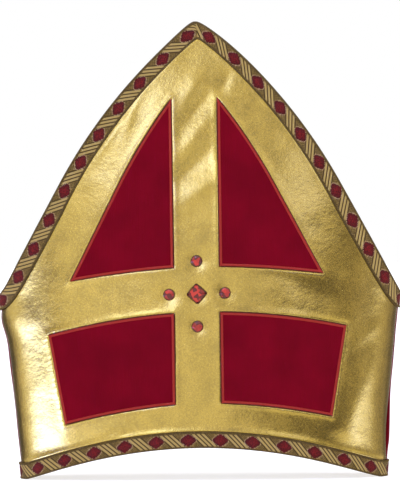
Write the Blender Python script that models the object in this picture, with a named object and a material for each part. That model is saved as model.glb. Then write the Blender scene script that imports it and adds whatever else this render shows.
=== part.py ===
"""A bishop's mitre that stands on its rim: a gold front panel and a red velvet back, sewn at the sides.

The front carries four velvet fields edged in satin stitch, which leave a gold cross between them, and five
cut stones on the cross. A woven galloon edges both arches and runs round the rim. Units are metres, +Z is
up, the front faces -Y, and the origin lies where the rim rests, midway between the panels.
"""

import math
from collections import namedtuple

import bmesh
import bpy
from mathutils import Matrix, Vector

# Body of the mitre: half sizes of its plan, and heights.
RIM_HALF_WIDTH = 0.1356
SHOULDER_HALF_WIDTH = 0.1495
RIM_HALF_DEPTH = 0.050
SHOULDER_HALF_DEPTH = 0.057
PEAK_HALF_DEPTH = 0.046
SHOULDER_HEIGHT = 0.1375
PEAK_HEIGHT = 0.345
PLAN_POWER = 0.86  # 1 gives an elliptic plan, less gives fuller sides
SEAM_TURN = math.radians(84.5)  # where the side seams lie, as a turn from the middle of the front

# The right side sags outwards low down, the left side flares at the shoulder, and the peaks lean to the left.
SAG = 0.0027
SAG_HEIGHT = 0.005
SAG_REACH = 0.026
FLARE = 0.0030
FLARE_HEIGHT = 0.1195
FLARE_REACH = 0.0115
SIDE_POWER = 8  # how closely the sag and the flare keep to the sides
PEAK_SWAY = 0.0023
PEAK_SWAY_FROM = 0.290
PEAK_SWAY_REACH = 0.050
PEAK_SWAY_POWER = 4

# Arch edge, seen from the front: straight up from the shoulder, then one arc to the peak.
ARCH_LEAN = math.radians(28.9)
ARCH_STRAIGHT = 0.0945
ARCH_RADIUS = 0.408
PEAK_ROUNDING = 0.0044
PEAK_ROUNDING_INSIDE = 0.0018  # the same for the inner edge of the galloon
TOP_TRIES = 40

# Rim, seen from the front: it rises to the middle and rests flat near the two side seams.
RIM_RISE = 0.0242
RIM_REST_SHARE = 0.965
RIM_POWER = 1.08

# Walls and cloths.
WALL = 0.003
EDGE_ROUND = 0.0008
SEAM_GAP = 0.0003
CLOTH_GAP = 0.0003
VELVET_THICKNESS = 0.0010
BORDER_THICKNESS = 0.0013
BORDER_WIDTH = 0.0024
ARCH_GALLOON_WIDTH = 0.011
RIM_GALLOON_WIDTH = 0.012
GALLOON_THICKNESS = 0.0009
GALLOON_GAP = 0.0004
HEM_ABOVE_RIM = 0.0006

# Gold cross between the velvet fields, seen from the front. Its even design lies a little askew on the wall.
CROSS_HALF_WIDTH = 0.0168
UPPER_FIELD_TIP_FROM_ARCH = 0.0437
UPPER_FIELD_FOOT_FROM_ARCH = 0.0485
UPPER_FIELD_INNER_FOOT = 0.1582
UPPER_FIELD_OUTER_FOOT = 0.1507
UPPER_FIELD_FOOT_BOW = 0.0010
LOWER_FIELD_INNER_HEAD = 0.1246
LOWER_FIELD_OUTER_HEAD = 0.1113
LOWER_FIELD_OUTER_FOOT = 0.0442
LOWER_FIELD_INNER_FOOT = 0.0569
LOWER_FIELD_HEAD_REACH = 0.1105
LOWER_FIELD_FOOT_REACH = 0.0989
LOWER_FIELD_HEAD_BOW = 0.0024
LOWER_FIELD_FOOT_BOW = 0.0019
CROSS_SHIFT = 0.0026  # to the left
CROSS_LEAN = 0.0066  # to the left, for each metre up
CROSS_TILT = 0.025  # upwards, for each metre to the right
SHARPEST_CORNER = 0.2

# Stones.
STONE_GAP = 0.0004
ROUND_STONE_RADIUS = 0.0042
ROUND_STONE_HEIGHT = 0.0026
SQUARE_STONE_HALF_SIDE = 0.0058
SQUARE_STONE_HEIGHT = 0.0036
SQUARE_STONE_CORNER = 0.0011
STONE_CENTRE_HEIGHT = 0.1385
STONE_SPACING_UP = 0.0242
STONE_SPACING_ACROSS = 0.0207

# Fineness of the facets.
COLUMNS = 42
COLUMN_EVENNESS = 0.65  # 1 spaces the columns evenly by turn, less draws them to the seams
FRONT_ROWS = 20
BACK_ROWS = 9
EDGE_STEPS = 9
GALLOON_ROWS = 3
SLOPE_STEP = math.radians(0.5)
CUTTER_NEAR, CUTTER_FAR = 2.0, 0.1  # ends of the cutters, as shares of the half depth
FRONT, BACK = -1, 1

Fold = namedtuple("Fold", "x z turn reach width lift")
# Soft folds and dents, seen from the front: place, degrees from level, half length, half width, lift.
FRONT_FOLDS = (
    Fold(x=0.118, z=0.063, turn=65, reach=0.040, width=0.013, lift=0.0019),
    Fold(x=-0.098, z=0.070, turn=96, reach=0.070, width=0.020, lift=0.0012),
    Fold(x=0.090, z=0.136, turn=150, reach=0.022, width=0.010, lift=-0.0006),
    Fold(x=-0.0045, z=0.293, turn=60, reach=0.018, width=0.007, lift=0.0007),
    Fold(x=0.000, z=0.277, turn=56, reach=0.024, width=0.007, lift=-0.0008),
    Fold(x=-0.003, z=0.255, turn=54, reach=0.024, width=0.007, lift=0.0005),
    Fold(x=-0.0045, z=0.234, turn=42, reach=0.024, width=0.008, lift=-0.0010),
    Fold(x=0.002, z=0.216, turn=38, reach=0.020, width=0.007, lift=0.0006),
    Fold(x=-0.032, z=0.288, turn=75, reach=0.018, width=0.006, lift=0.0008),
)
BACK_FOLDS = (
    Fold(x=-0.060, z=0.150, turn=80, reach=0.080, width=0.022, lift=0.0010),
    Fold(x=0.070, z=0.110, turn=100, reach=0.070, width=0.024, lift=-0.0010),
    Fold(x=0.137, z=0.036, turn=90, reach=0.024, width=0.016, lift=0.0016),
)
FOLD_FADE = 0.016  # folds die out this close to a sewn edge

StoneRing = namedtuple("StoneRing", "size height")
ROUND_RINGS = (
    (16, StoneRing(size=0.93, height=0.0)),
    (16, StoneRing(size=1.0, height=0.28)),
    (8, StoneRing(size=0.80, height=0.72)),
    (8, StoneRing(size=0.52, height=1.0)),
)
SQUARE_RINGS = (
    StoneRing(size=0.94, height=0.0),
    StoneRing(size=1.0, height=0.22),
    StoneRing(size=0.80, height=0.74),
    StoneRing(size=0.56, height=1.0),
)

Finish = namedtuple("Finish", "color roughness metallic")
GOLD = Finish(color=(0.71, 0.52, 0.17), roughness=0.38, metallic=1.0)
VELVET = Finish(color=(0.19, 0.004, 0.015), roughness=0.95, metallic=0.0)
SATIN = Finish(color=(0.46, 0.035, 0.03), roughness=0.5, metallic=0.0)
GALLOON = Finish(color=(0.33, 0.21, 0.09), roughness=0.7, metallic=0.2)
STONE = Finish(color=(0.52, 0.03, 0.02), roughness=0.08, metallic=0.0)


# ---- shape of the walls ----------------------------------------------------------------------------------


def half_width(z, turn=0.0):
    """Half width of the plan at a height, with the sag on the right side and the flare on the left."""
    straight = RIM_HALF_WIDTH + (SHOULDER_HALF_WIDTH - RIM_HALF_WIDTH) * z / SHOULDER_HEIGHT
    sag = SAG * math.exp(-(((z - SAG_HEIGHT) / SAG_REACH) ** 2))
    flare = FLARE * math.exp(-(((z - FLARE_HEIGHT) / FLARE_REACH) ** 2))
    right, left = max(0.0, math.sin(turn)), max(0.0, -math.sin(turn))
    return straight + sag * right**SIDE_POWER + flare * left**SIDE_POWER


def half_depth(z):
    """Half depth of the plan: one parabola through the rim, the shoulder and the peak."""
    s, p = SHOULDER_HEIGHT, PEAK_HEIGHT
    rim = RIM_HALF_DEPTH * (z - s) * (z - p) / (s * p)
    shoulder = SHOULDER_HALF_DEPTH * z * (z - p) / (s * (s - p))
    peak = PEAK_HALF_DEPTH * z * (z - s) / (p * (p - s))
    return rim + shoulder + peak


def arc_start():
    """Point where the straight part of the arch edge meets its arc."""
    x = SHOULDER_HALF_WIDTH - ARCH_STRAIGHT * math.sin(ARCH_LEAN)
    return x, SHOULDER_HEIGHT + ARCH_STRAIGHT * math.cos(ARCH_LEAN)


def arc_centre():
    """Centre of the arc of the right half of the arch edge, left of the middle."""
    x, z = arc_start()
    return x - ARCH_RADIUS * math.cos(ARCH_LEAN), z - ARCH_RADIUS * math.sin(ARCH_LEAN)


def arch_height(x, rounding=PEAK_ROUNDING):
    """Height of the arch edge at a distance from the middle, seen from the front."""
    x = math.hypot(x, rounding)
    if x > arc_start()[0]:
        return SHOULDER_HEIGHT + (SHOULDER_HALF_WIDTH - x) / math.tan(ARCH_LEAN)
    centre_x, centre_z = arc_centre()
    return centre_z + math.sqrt(ARCH_RADIUS**2 - (x - centre_x) ** 2)


def arch_slope(x):
    """Slope of the arch edge at a distance from the middle, as if its peak weren't rounded."""
    if x > arc_start()[0]:
        return math.pi / 2 - ARCH_LEAN
    return math.asin((x - arc_centre()[0]) / ARCH_RADIUS)


def top_height(turn):
    """Height at which a column of the wall meets the arch edge."""
    z = SHOULDER_HEIGHT
    for _ in range(TOP_TRIES):
        z = arch_height(half_width(z) * abs(math.sin(turn)))
    return z


def rim_height(turn):
    """Height of the rim at a column: flat by the side seams, then rising to the middle."""
    share = 1 - (math.sin(turn) / RIM_REST_SHARE) ** 2
    return RIM_RISE * max(0.0, share) ** RIM_POWER


def smooth_step(share):
    share = min(1.0, max(0.0, share))
    return share * share * (3 - 2 * share)


def fold_lift(side, turn, z):
    """How far the folds push the wall out at a point."""
    x = half_width(z) * math.sin(turn)
    lift = 0.0
    for fold in FRONT_FOLDS if side == FRONT else BACK_FOLDS:
        lean = math.radians(fold.turn)
        along = (x - fold.x) * math.cos(lean) + (z - fold.z) * math.sin(lean)
        across = (z - fold.z) * math.cos(lean) - (x - fold.x) * math.sin(lean)
        lift += fold.lift * math.exp(-((along / fold.reach) ** 2) - (across / fold.width) ** 2)
    to_arch = (top_height(turn) - z) * math.sin(ARCH_LEAN) - ARCH_GALLOON_WIDTH
    to_rim = z - rim_height(turn) - RIM_GALLOON_WIDTH
    return lift * smooth_step(to_arch / FOLD_FADE) * smooth_step(to_rim / FOLD_FADE)


def outward(turn, z):
    """Level direction that points straight out of the wall."""
    across = half_depth(z) * PLAN_POWER * math.sin(turn)
    ahead = half_width(z) * abs(math.cos(turn)) ** (2 - PLAN_POWER)
    return Vector((across, math.copysign(ahead, -math.cos(turn)), 0)).normalized()


def wall_point(side, turn, z, lift=0.0):
    """A point of the outer wall, lifted off it. The turn runs round the plan from the front's middle."""
    sway = PEAK_SWAY * (max(0.0, z - PEAK_SWAY_FROM) / PEAK_SWAY_REACH) ** PEAK_SWAY_POWER
    x = half_width(z, turn) * math.sin(turn) - sway
    y = math.copysign(half_depth(z) * abs(math.cos(turn)) ** PLAN_POWER, -math.cos(turn))
    seamed = Vector((x, y + side * SEAM_GAP / 2, z))
    return seamed + outward(turn, z) * (lift + fold_lift(side, turn, z))


def column_turns(side):
    """Turns of a panel's columns from seam to seam, closer by the seams, where the wall turns most."""
    middle, span = (0.0, SEAM_TURN) if side == FRONT else (math.pi, math.pi - SEAM_TURN)
    turns = []
    for i in range(COLUMNS + 1):
        t = 2 * i / COLUMNS - 1
        drawn = math.sin(math.pi / 2 * t)
        turns.append(middle + span * (COLUMN_EVENNESS * t + (1 - COLUMN_EVENNESS) * drawn))
    return turns


def wall_grid(side, rows, lift):
    """Rows of points from the rim to the arch edge, a column for each turn."""
    grid = []
    for r in range(rows + 1):
        row = []
        for turn in column_turns(side):
            low, high = rim_height(turn), top_height(turn)
            row.append(wall_point(side, turn, low + (high - low) * r / rows, lift))
        grid.append(row)
    return grid


# ---- turning grids into solids ---------------------------------------------------------------------------


def new_object(name, mesh_data, finish):
    """Puts a bmesh in the scene as an object with its own material."""
    bmesh.ops.recalc_face_normals(mesh_data, faces=mesh_data.faces)
    mesh = bpy.data.meshes.new(name)
    mesh_data.to_mesh(mesh)
    mesh_data.free()
    obj = bpy.data.objects.new(name, mesh)
    bpy.context.scene.collection.objects.link(obj)
    material = bpy.data.materials.new(name)
    material.use_nodes = True
    shader = material.node_tree.nodes["Principled BSDF"]
    shader.inputs["Base Color"].default_value = (*finish.color, 1)
    shader.inputs["Roughness"].default_value = finish.roughness
    shader.inputs["Metallic"].default_value = finish.metallic
    mesh.materials.append(material)
    return obj


def smooth(obj, sharp_angle=40):
    obj.data.shade_smooth()
    obj.data.set_sharp_from_angle(angle=math.radians(sharp_angle))


def sheet_solid(outer, inner, crest=None):
    """A closed solid between two grids. A crest is a row of points that rounds its top edge."""
    solid = bmesh.new()
    out = [[solid.verts.new(p) for p in row] for row in outer]
    ins = [[solid.verts.new(p) for p in row] for row in inner]
    last_row, last_column = len(out) - 1, len(out[0]) - 1
    for grid in (out, ins):
        for r in range(last_row):
            for c in range(last_column):
                solid.faces.new((grid[r][c], grid[r][c + 1], grid[r + 1][c + 1], grid[r + 1][c]))
    for c in (0, last_column):
        for r in range(last_row):
            solid.faces.new((out[r][c], out[r + 1][c], ins[r + 1][c], ins[r][c]))
    top = [solid.verts.new(p) for p in crest] if crest else None
    for c in range(last_column):
        solid.faces.new((out[0][c], out[0][c + 1], ins[0][c + 1], ins[0][c]))
        if top:
            solid.faces.new((out[-1][c], out[-1][c + 1], top[c + 1], top[c]))
            solid.faces.new((top[c], top[c + 1], ins[-1][c + 1], ins[-1][c]))
        else:
            solid.faces.new((out[-1][c], out[-1][c + 1], ins[-1][c + 1], ins[-1][c]))
    if top:
        for c in (0, last_column):
            solid.faces.new((out[-1][c], top[c], ins[-1][c]))
    return solid


def panel(name, side, rows, finish):
    """One padded wall of the mitre, with its arch edge rounded."""
    outer = wall_grid(side, rows, 0.0)
    inner = wall_grid(side, rows, -WALL)
    crest = [(a + b) / 2 + Vector((0, 0, EDGE_ROUND)) for a, b in zip(outer[-1], inner[-1])]
    smooth(new_object(name, sheet_solid(outer, inner, crest), finish))


def evaluated_copy(obj):
    """The object's mesh with its modifiers applied, on the same object."""
    bpy.context.view_layer.update()
    graph = bpy.context.evaluated_depsgraph_get()
    applied = bpy.data.meshes.new_from_object(obj.evaluated_get(graph))
    obj.modifiers.clear()
    obj.data = applied


def cut_to(obj, cutter):
    """Keeps only what lies inside the cutter, and removes the cutter."""
    cut = obj.modifiers.new("cut", "BOOLEAN")
    cut.operation = "INTERSECT"
    cut.object = cutter
    evaluated_copy(obj)
    bpy.data.objects.remove(cutter)


# ---- velvet fields and their borders ---------------------------------------------------------------------


def edge_points(start, end, bow=0.0):
    """Points from the start of an edge up to, but without, its end. A bow lifts the middle of the edge."""
    points = []
    for i in range(EDGE_STEPS):
        t = i / EDGE_STEPS
        x = start[0] + (end[0] - start[0]) * t
        z = start[1] + (end[1] - start[1]) * t + 4 * bow * t * (1 - t)
        points.append((x, z))
    return points


def upper_field():
    """Outline of a right upper field from the front: its outer edge follows the arch, moved inwards."""
    above_shoulder = UPPER_FIELD_OUTER_FOOT - SHOULDER_HEIGHT
    foot_x = SHOULDER_HALF_WIDTH - above_shoulder * math.tan(ARCH_LEAN) - UPPER_FIELD_FOOT_FROM_ARCH
    inner_foot = (CROSS_HALF_WIDTH, UPPER_FIELD_INNER_FOOT)
    outline = edge_points(inner_foot, (foot_x, UPPER_FIELD_OUTER_FOOT), bow=UPPER_FIELD_FOOT_BOW)
    for i in range(EDGE_STEPS + 1):
        t = i / EDGE_STEPS
        x = foot_x + (CROSS_HALF_WIDTH - foot_x) * t
        from_arch = UPPER_FIELD_FOOT_FROM_ARCH + (UPPER_FIELD_TIP_FROM_ARCH - UPPER_FIELD_FOOT_FROM_ARCH) * t
        outline.append((x, arch_height(x + from_arch)))
    return outline + edge_points(outline.pop(), inner_foot)


def lower_field():
    """Outline of a right lower field, seen from the front."""
    inner_foot = (CROSS_HALF_WIDTH, LOWER_FIELD_INNER_FOOT)
    outer_foot = (LOWER_FIELD_FOOT_REACH, LOWER_FIELD_OUTER_FOOT)
    outer_head = (LOWER_FIELD_HEAD_REACH, LOWER_FIELD_OUTER_HEAD)
    inner_head = (CROSS_HALF_WIDTH, LOWER_FIELD_INNER_HEAD)
    return (
        edge_points(inner_foot, outer_foot, bow=LOWER_FIELD_FOOT_BOW)
        + edge_points(outer_foot, outer_head)
        + edge_points(outer_head, inner_head, bow=LOWER_FIELD_HEAD_BOW)
        + edge_points(inner_head, inner_foot)
    )


def shrunk(outline, distance):
    """The outline moved inwards by a distance, with its corners kept sharp."""
    moved = []
    for i, (x, z) in enumerate(outline):
        before, after = outline[i - 1], outline[(i + 1) % len(outline)]
        ahead = Vector((after[0] - x, after[1] - z)).normalized()
        behind = Vector((x - before[0], z - before[1])).normalized()
        inward = Vector((-(ahead.y + behind.y), ahead.x + behind.x)).normalized()
        stretch = 1 / max(SHARPEST_CORNER, inward.dot(Vector((-ahead.y, ahead.x))))
        moved.append((x + inward.x * distance * stretch, z + inward.y * distance * stretch))
    return moved


def prism(outline, hole=None):
    """A cutter: the outline, less its hole, drawn out from the middle of the mitre past its front."""
    near, far = -CUTTER_NEAR * SHOULDER_HALF_DEPTH, -CUTTER_FAR * SHOULDER_HALF_DEPTH
    solid = bmesh.new()
    rings = []
    for ring in [outline] + ([hole] if hole else []):
        rings.append([[solid.verts.new((x, y, z)) for x, z in ring] for y in (near, far)])
    count = len(outline)
    for front, rear in rings:
        for i in range(count):
            solid.faces.new((front[i], front[(i + 1) % count], rear[(i + 1) % count], rear[i]))
    for level in (0, 1):
        if hole:
            a, b = rings[0][level], rings[1][level]
            for i in range(count):
                solid.faces.new((a[i], a[(i + 1) % count], b[(i + 1) % count], b[i]))
        else:
            solid.faces.new(rings[0][level])
    return new_object("cutter", solid, VELVET)


def front_layer(name, lift, thickness, finish):
    """A cloth that lies over the whole front wall, to be cut to its outline."""
    outer = wall_grid(FRONT, FRONT_ROWS, lift + thickness)
    inner = wall_grid(FRONT, FRONT_ROWS, lift)
    return new_object(name, sheet_solid(outer, inner), finish)


def velvet_field(place, outline):
    """A velvet field and the satin border that holds its edge down."""
    field = front_layer("velvet_" + place, CLOTH_GAP, VELVET_THICKNESS, VELVET)
    cut_to(field, prism(shrunk(outline, BORDER_WIDTH + CLOTH_GAP)))
    border = front_layer("border_" + place, CLOTH_GAP, BORDER_THICKNESS, SATIN)
    cut_to(border, prism(outline, hole=shrunk(outline, BORDER_WIDTH)))
    smooth(field)
    smooth(border)


def mirrored(outline):
    """The same outline on the other side of the middle, still running the same way round."""
    return [(-x, z) for x, z in reversed(outline)]


def on_cross(x, z):
    """Where a point of the cross's even design lies on the wall."""
    return x - CROSS_SHIFT - CROSS_LEAN * (z - STONE_CENTRE_HEIGHT), z + CROSS_TILT * x


def velvet_fields():
    for level, outline in (("upper", upper_field()), ("lower", lower_field())):
        velvet_field(level + "_right", [on_cross(x, z) for x, z in outline])
        velvet_field(level + "_left", [on_cross(x, z) for x, z in mirrored(outline)])


# ---- galloon ---------------------------------------------------------------------------------------------


def galloon_foot(turn):
    """Height of the galloon's inner edge at a column, for its full width along the wall."""
    top = top_height(turn)
    x = half_width(top) * abs(math.sin(turn))
    a, b = (wall_point(FRONT, t, top) for t in (turn - SLOPE_STEP, turn + SLOPE_STEP))
    level_share = abs(b.x - a.x) / math.hypot(b.x - a.x, b.y - a.y)
    rise = math.tan(arch_slope(math.hypot(x, PEAK_ROUNDING_INSIDE))) * level_share
    return arch_height(x, PEAK_ROUNDING_INSIDE) - ARCH_GALLOON_WIDTH * math.hypot(1, rise)


def arch_galloon(name, side):
    """The woven edging of one arch, mitred at its peak and cut off at the side seams."""
    grids = []
    for lift in (GALLOON_GAP + GALLOON_THICKNESS, GALLOON_GAP):
        grid = []
        for r in range(GALLOON_ROWS + 1):
            row = []
            for turn in column_turns(side):
                low, high = galloon_foot(turn), top_height(turn)
                row.append(wall_point(side, turn, low + (high - low) * r / GALLOON_ROWS, lift))
            grid.append(row)
        grids.append(grid)
    smooth(new_object(name, sheet_solid(*grids), GALLOON))


def rim_galloon():
    """The woven edging round the rim: one closed band over both panels."""
    around = [(side, turn) for side in (FRONT, BACK) for turn in column_turns(side)]
    low, high = HEM_ABOVE_RIM, HEM_ABOVE_RIM + RIM_GALLOON_WIDTH
    near, far = GALLOON_GAP, GALLOON_GAP + GALLOON_THICKNESS
    band = bmesh.new()
    loops = []
    for height, lift in ((low, far), (high, far), (high, near), (low, near)):
        loop = []
        for side, turn in around:
            loop.append(band.verts.new(wall_point(side, turn, rim_height(turn) + height, lift)))
        loops.append(loop)
    count = len(around)
    for k, loop in enumerate(loops):
        after = loops[(k + 1) % len(loops)]
        for i in range(count):
            j = (i + 1) % count
            band.faces.new((loop[i], loop[j], after[j], after[i]))
    smooth(new_object("galloon_rim", band, GALLOON))


# ---- stones ----------------------------------------------------------------------------------------------


def stone_on_wall(name, points, x, z):
    """A cut stone: the hull of its rings of points, turned to lie flat on the front wall."""
    x, z = on_cross(x, z)
    stone = bmesh.new()
    for point in points:
        stone.verts.new(point)
    hull = bmesh.ops.convex_hull(stone, input=stone.verts)
    unused = hull["geom_interior"] + hull["geom_unused"]
    bmesh.ops.delete(stone, geom=[v for v in unused if isinstance(v, bmesh.types.BMVert)], context="VERTS")
    bmesh.ops.dissolve_limit(stone, angle_limit=math.radians(1), verts=stone.verts, edges=stone.edges)
    turn = math.asin(x / half_width(z))
    seat = wall_point(FRONT, turn, z, STONE_GAP)
    normal = outward(turn, z)
    obj = new_object(name, stone, STONE)
    obj.matrix_world = Matrix.Translation(seat) @ normal.to_track_quat("Z", "Y").to_matrix().to_4x4()


def round_stone_points():
    points = []
    for sides, ring in ROUND_RINGS:
        for i in range(sides):
            turn = 2 * math.pi * (i + 0.5) / sides
            radius = ROUND_STONE_RADIUS * ring.size
            height = ROUND_STONE_HEIGHT * ring.height
            points.append((radius * math.cos(turn), radius * math.sin(turn), height))
    return points


def square_stone_points():
    """A square stone with cut corners, standing on one of them."""
    points = []
    for ring in SQUARE_RINGS:
        half = SQUARE_STONE_HALF_SIDE * ring.size
        short = half - SQUARE_STONE_CORNER * ring.size
        for a, b in ((half, short), (short, half)):
            for sign_a in (-1, 1):
                for sign_b in (-1, 1):
                    corner = Vector((a * sign_a, b * sign_b, SQUARE_STONE_HEIGHT * ring.height))
                    points.append(Matrix.Rotation(math.radians(45), 3, "Z") @ corner)
    return points


def stones():
    z = STONE_CENTRE_HEIGHT
    stone_on_wall("stone_centre", square_stone_points(), 0, z)
    stone_on_wall("stone_top", round_stone_points(), 0, z + STONE_SPACING_UP)
    stone_on_wall("stone_bottom", round_stone_points(), 0, z - STONE_SPACING_UP)
    stone_on_wall("stone_left", round_stone_points(), -STONE_SPACING_ACROSS, z)
    stone_on_wall("stone_right", round_stone_points(), STONE_SPACING_ACROSS, z)


def main():
    for obj in list(bpy.data.objects):
        bpy.data.objects.remove(obj)
    panel("front_panel", FRONT, FRONT_ROWS, GOLD)
    panel("back_panel", BACK, BACK_ROWS, VELVET)
    velvet_fields()
    arch_galloon("galloon_front", FRONT)
    arch_galloon("galloon_back", BACK)
    rim_galloon()
    stones()


main()
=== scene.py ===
"""The finished look of a bishop's mitre, laid out as a Blender add-on.

The frame holds the mitre's plain solids in metres, +Z up, with the front towards -Y. Each operator makes one
piece, or one group of like pieces, with its surface, and hides the plain solids that it stands for.
"""

import math
from collections import namedtuple

import bmesh
import bpy
import numpy as np
from bpy.props import FloatProperty, FloatVectorProperty, IntProperty, PointerProperty
from mathutils import Matrix, Quaternion, Vector, noise


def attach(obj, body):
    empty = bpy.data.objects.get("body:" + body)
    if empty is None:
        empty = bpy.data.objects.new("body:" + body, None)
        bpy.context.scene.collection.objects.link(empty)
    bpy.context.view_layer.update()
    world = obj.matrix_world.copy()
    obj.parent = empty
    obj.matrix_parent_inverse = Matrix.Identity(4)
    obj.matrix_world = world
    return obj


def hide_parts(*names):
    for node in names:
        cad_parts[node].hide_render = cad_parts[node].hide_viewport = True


bl_info = {
    "name": "Bishop's mitre",
    "version": (1, 0, 0),
    "blender": (4, 5, 0),
    "location": "3D View > Sidebar > Mitre",
    "description": "Builds the cloths, ribbons, stitches and stones of a bishop's mitre",
    "category": "Object",
}

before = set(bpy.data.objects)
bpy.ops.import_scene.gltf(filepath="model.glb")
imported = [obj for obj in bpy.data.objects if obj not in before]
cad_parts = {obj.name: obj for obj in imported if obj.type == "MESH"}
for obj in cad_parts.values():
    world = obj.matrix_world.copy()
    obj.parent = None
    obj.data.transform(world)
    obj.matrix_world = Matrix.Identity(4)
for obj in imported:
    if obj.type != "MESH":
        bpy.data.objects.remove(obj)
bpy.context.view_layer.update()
MM = 0.001

# ---- form of the walls, the same as that of the plain solids ----------------------------------------------

RIM_HALF_WIDTH = 0.1356
SHOULDER_HALF_WIDTH = 0.1495
RIM_HALF_DEPTH = 0.050
SHOULDER_HALF_DEPTH = 0.057
PEAK_HALF_DEPTH = 0.046
SHOULDER_HEIGHT = 0.1375
PEAK_HEIGHT = 0.345
PLAN_POWER = 0.86
SEAM_TURN = math.radians(84.5)
SAG = 0.0027
SAG_HEIGHT = 0.005
SAG_REACH = 0.026
SIDE_POWER = 8
FLARE = 0.0030
FLARE_HEIGHT = 0.1195
FLARE_REACH = 0.0115
PEAK_SWAY = 0.0023
PEAK_SWAY_FROM = 0.290
PEAK_SWAY_REACH = 0.050
PEAK_SWAY_POWER = 4
ARCH_LEAN = math.radians(28.9)
ARCH_STRAIGHT = 0.0945
ARCH_RADIUS = 0.408
PEAK_ROUNDING = 0.0044
PEAK_ROUNDING_INSIDE = 0.0018  # the same for the inner edge of the ribbon
TOP_TRIES = 40
SLOPE_STEP = math.radians(0.25)
COLUMN_EVENNESS = 0.65
RIM_RISE = 0.0242
RIM_REST_SHARE = 0.965
RIM_POWER = 1.08
WALL = 0.003
SEAM_GAP = 0.0003
TURN_MARGIN = 0.001
ARCH_RIBBON_WIDTH = 0.011
RIM_RIBBON_WIDTH = 0.012
FOLD_FADE = 0.016
FRONT, BACK = -1, 1

# The cross that the velvet fields leave between them, seen from the front.
BORDER_WIDTH = 0.0024
CROSS_HALF_WIDTH = 0.0168
UPPER_FIELD_TIP_FROM_ARCH = 0.0437
UPPER_FIELD_FOOT_FROM_ARCH = 0.0485
UPPER_FIELD_INNER_FOOT = 0.1582
UPPER_FIELD_OUTER_FOOT = 0.1507
UPPER_FOOT_BOW = 0.0010
LOWER_FIELD_INNER_HEAD = 0.1246
LOWER_FIELD_OUTER_HEAD = 0.1113
LOWER_FIELD_OUTER_FOOT = 0.0442
LOWER_FIELD_INNER_FOOT = 0.0569
LOWER_FIELD_HEAD_REACH = 0.1105
LOWER_FIELD_FOOT_REACH = 0.0989
LOWER_FOOT_BOW = 0.0019
LOWER_HEAD_BOW = 0.0024
CROSS_SHIFT = 0.0026  # the even design lies a little to the left,
CROSS_LEAN = 0.0066  # leans to the left, for each metre up,
CROSS_TILT = 0.025  # and rises, for each metre to the right
SHARPEST_CORNER = 0.2

# Places of the stones on the cross.
STONE_CENTRE_HEIGHT = 0.1385
STONE_SPACING_UP = 0.0242
STONE_SPACING_ACROSS = 0.0207
ROUND_STONE_RADIUS = 0.0042
ROUND_STONE_HEIGHT = 0.0026
SQUARE_STONE_HALF_SIDE = 0.0058
SQUARE_STONE_HEIGHT = 0.0036
SQUARE_STONE_CORNER = 0.0011

# ---- fine form, which the plain solids leave out ----------------------------------------------------------

WALL_UNDER_RIBBON = 0.0005  # the walls end this far inside the ribbons' outer edges
WALL_COLUMNS = 300
WALL_ROWS = 270
WALL_CLOSE_ROWS = 12
BACK_COLUMNS = 200
BACK_ROWS = 100
BACK_CLOSE_ROWS = 7
INNER_STEP = 10  # the inside has one row of faces for this many outside
SEAM_ROLL = 0.0007
SEAM_ROLL_REACH = 0.0016
EDGE_ROLL = 0.00028  # how far the gold cloth swells beside a sewn edge
EDGE_ROLL_REACH = 0.0013
PUCKER = 0.00005
PUCKER_LENGTH = 0.0042
PUCKER_REACH = 0.0035
RIBBON_BED = 0.0002  # the padding stands up beside the ribbons, which press it down
RIBBON_BED_REACH = 0.006
ARCH_EDGE_SHARE = 0.3  # how much of the swelling there is beside the arch ribbon
FIELD_EDGE_SHARE = 0.8  # and beside the velvet fields
Wave = namedtuple("Wave", "size height seed")
LAME_WAVES = (Wave(size=0.022, height=0.00018, seed=1), Wave(size=0.009, height=0.00006, seed=2))
BACK_WAVE = Wave(size=0.030, height=0.0005, seed=4)
FIELD_WAVE = Wave(size=0.020, height=0.00022, seed=5)
PUCKER_SEED = 3
SEED_STEP = 17.3
WAVE_FADE = 0.004
FIELD_WAVE_FADE = 0.010
UNDER_EDGE = 0.0004  # the gold cloth is pressed down from this far outside a field's edge,
PRESSED = 0.0002  # by this much
DIMPLE = 0.0011  # the stones draw the cloth in
DIMPLE_REACH = 0.0068
HIDDEN_ROWS = 3
CLOSE_REACH = 0.003
FAR_FROM_SEAM = 20.0  # millimetres, for the inside of the walls

# Names of the values that a mesh carries for its material.
SEWN, ACROSS, HEART, CUT_HEIGHT, WEAVE = "sewn", "across", "heart", "cut_height", "weave"

RIBBON_STEP = 0.00055
RIBBON_ROWS = 24
INSIDE_ROWS = 3
WRAP_ROWS = 10
RIBBON_TABLE = 1200
RIM_TABLE = 900
POINT_TRIES = 4
RIBBON_THICKNESS = 0.0008
RIBBON_GAP = 0.0003
RIBBON_TURN_OVER = 0.0004  # how much of an arch ribbon's pattern lies on the arch's edge
RIBBON_CREST = 0.0006
CREST_GROWTH = 0.4  # share of its thickness that an arch ribbon has on top of the arch's edge
RELIEF_FACING = 0.9  # the weave stands out where the ribbon faces at least this share outwards
RIBBON_INSIDE = 0.003
RIM_RIBBON_FOOT = 0.0001  # the rim's ribbon starts this far above the rim
RIM_REPEATS = 27
RIM_FIRST_DIAMOND = 0.0139
FOLD_OVERLAP_LIFT = 0.0006
FOLD_OVERLAP_REACH = 0.005

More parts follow.
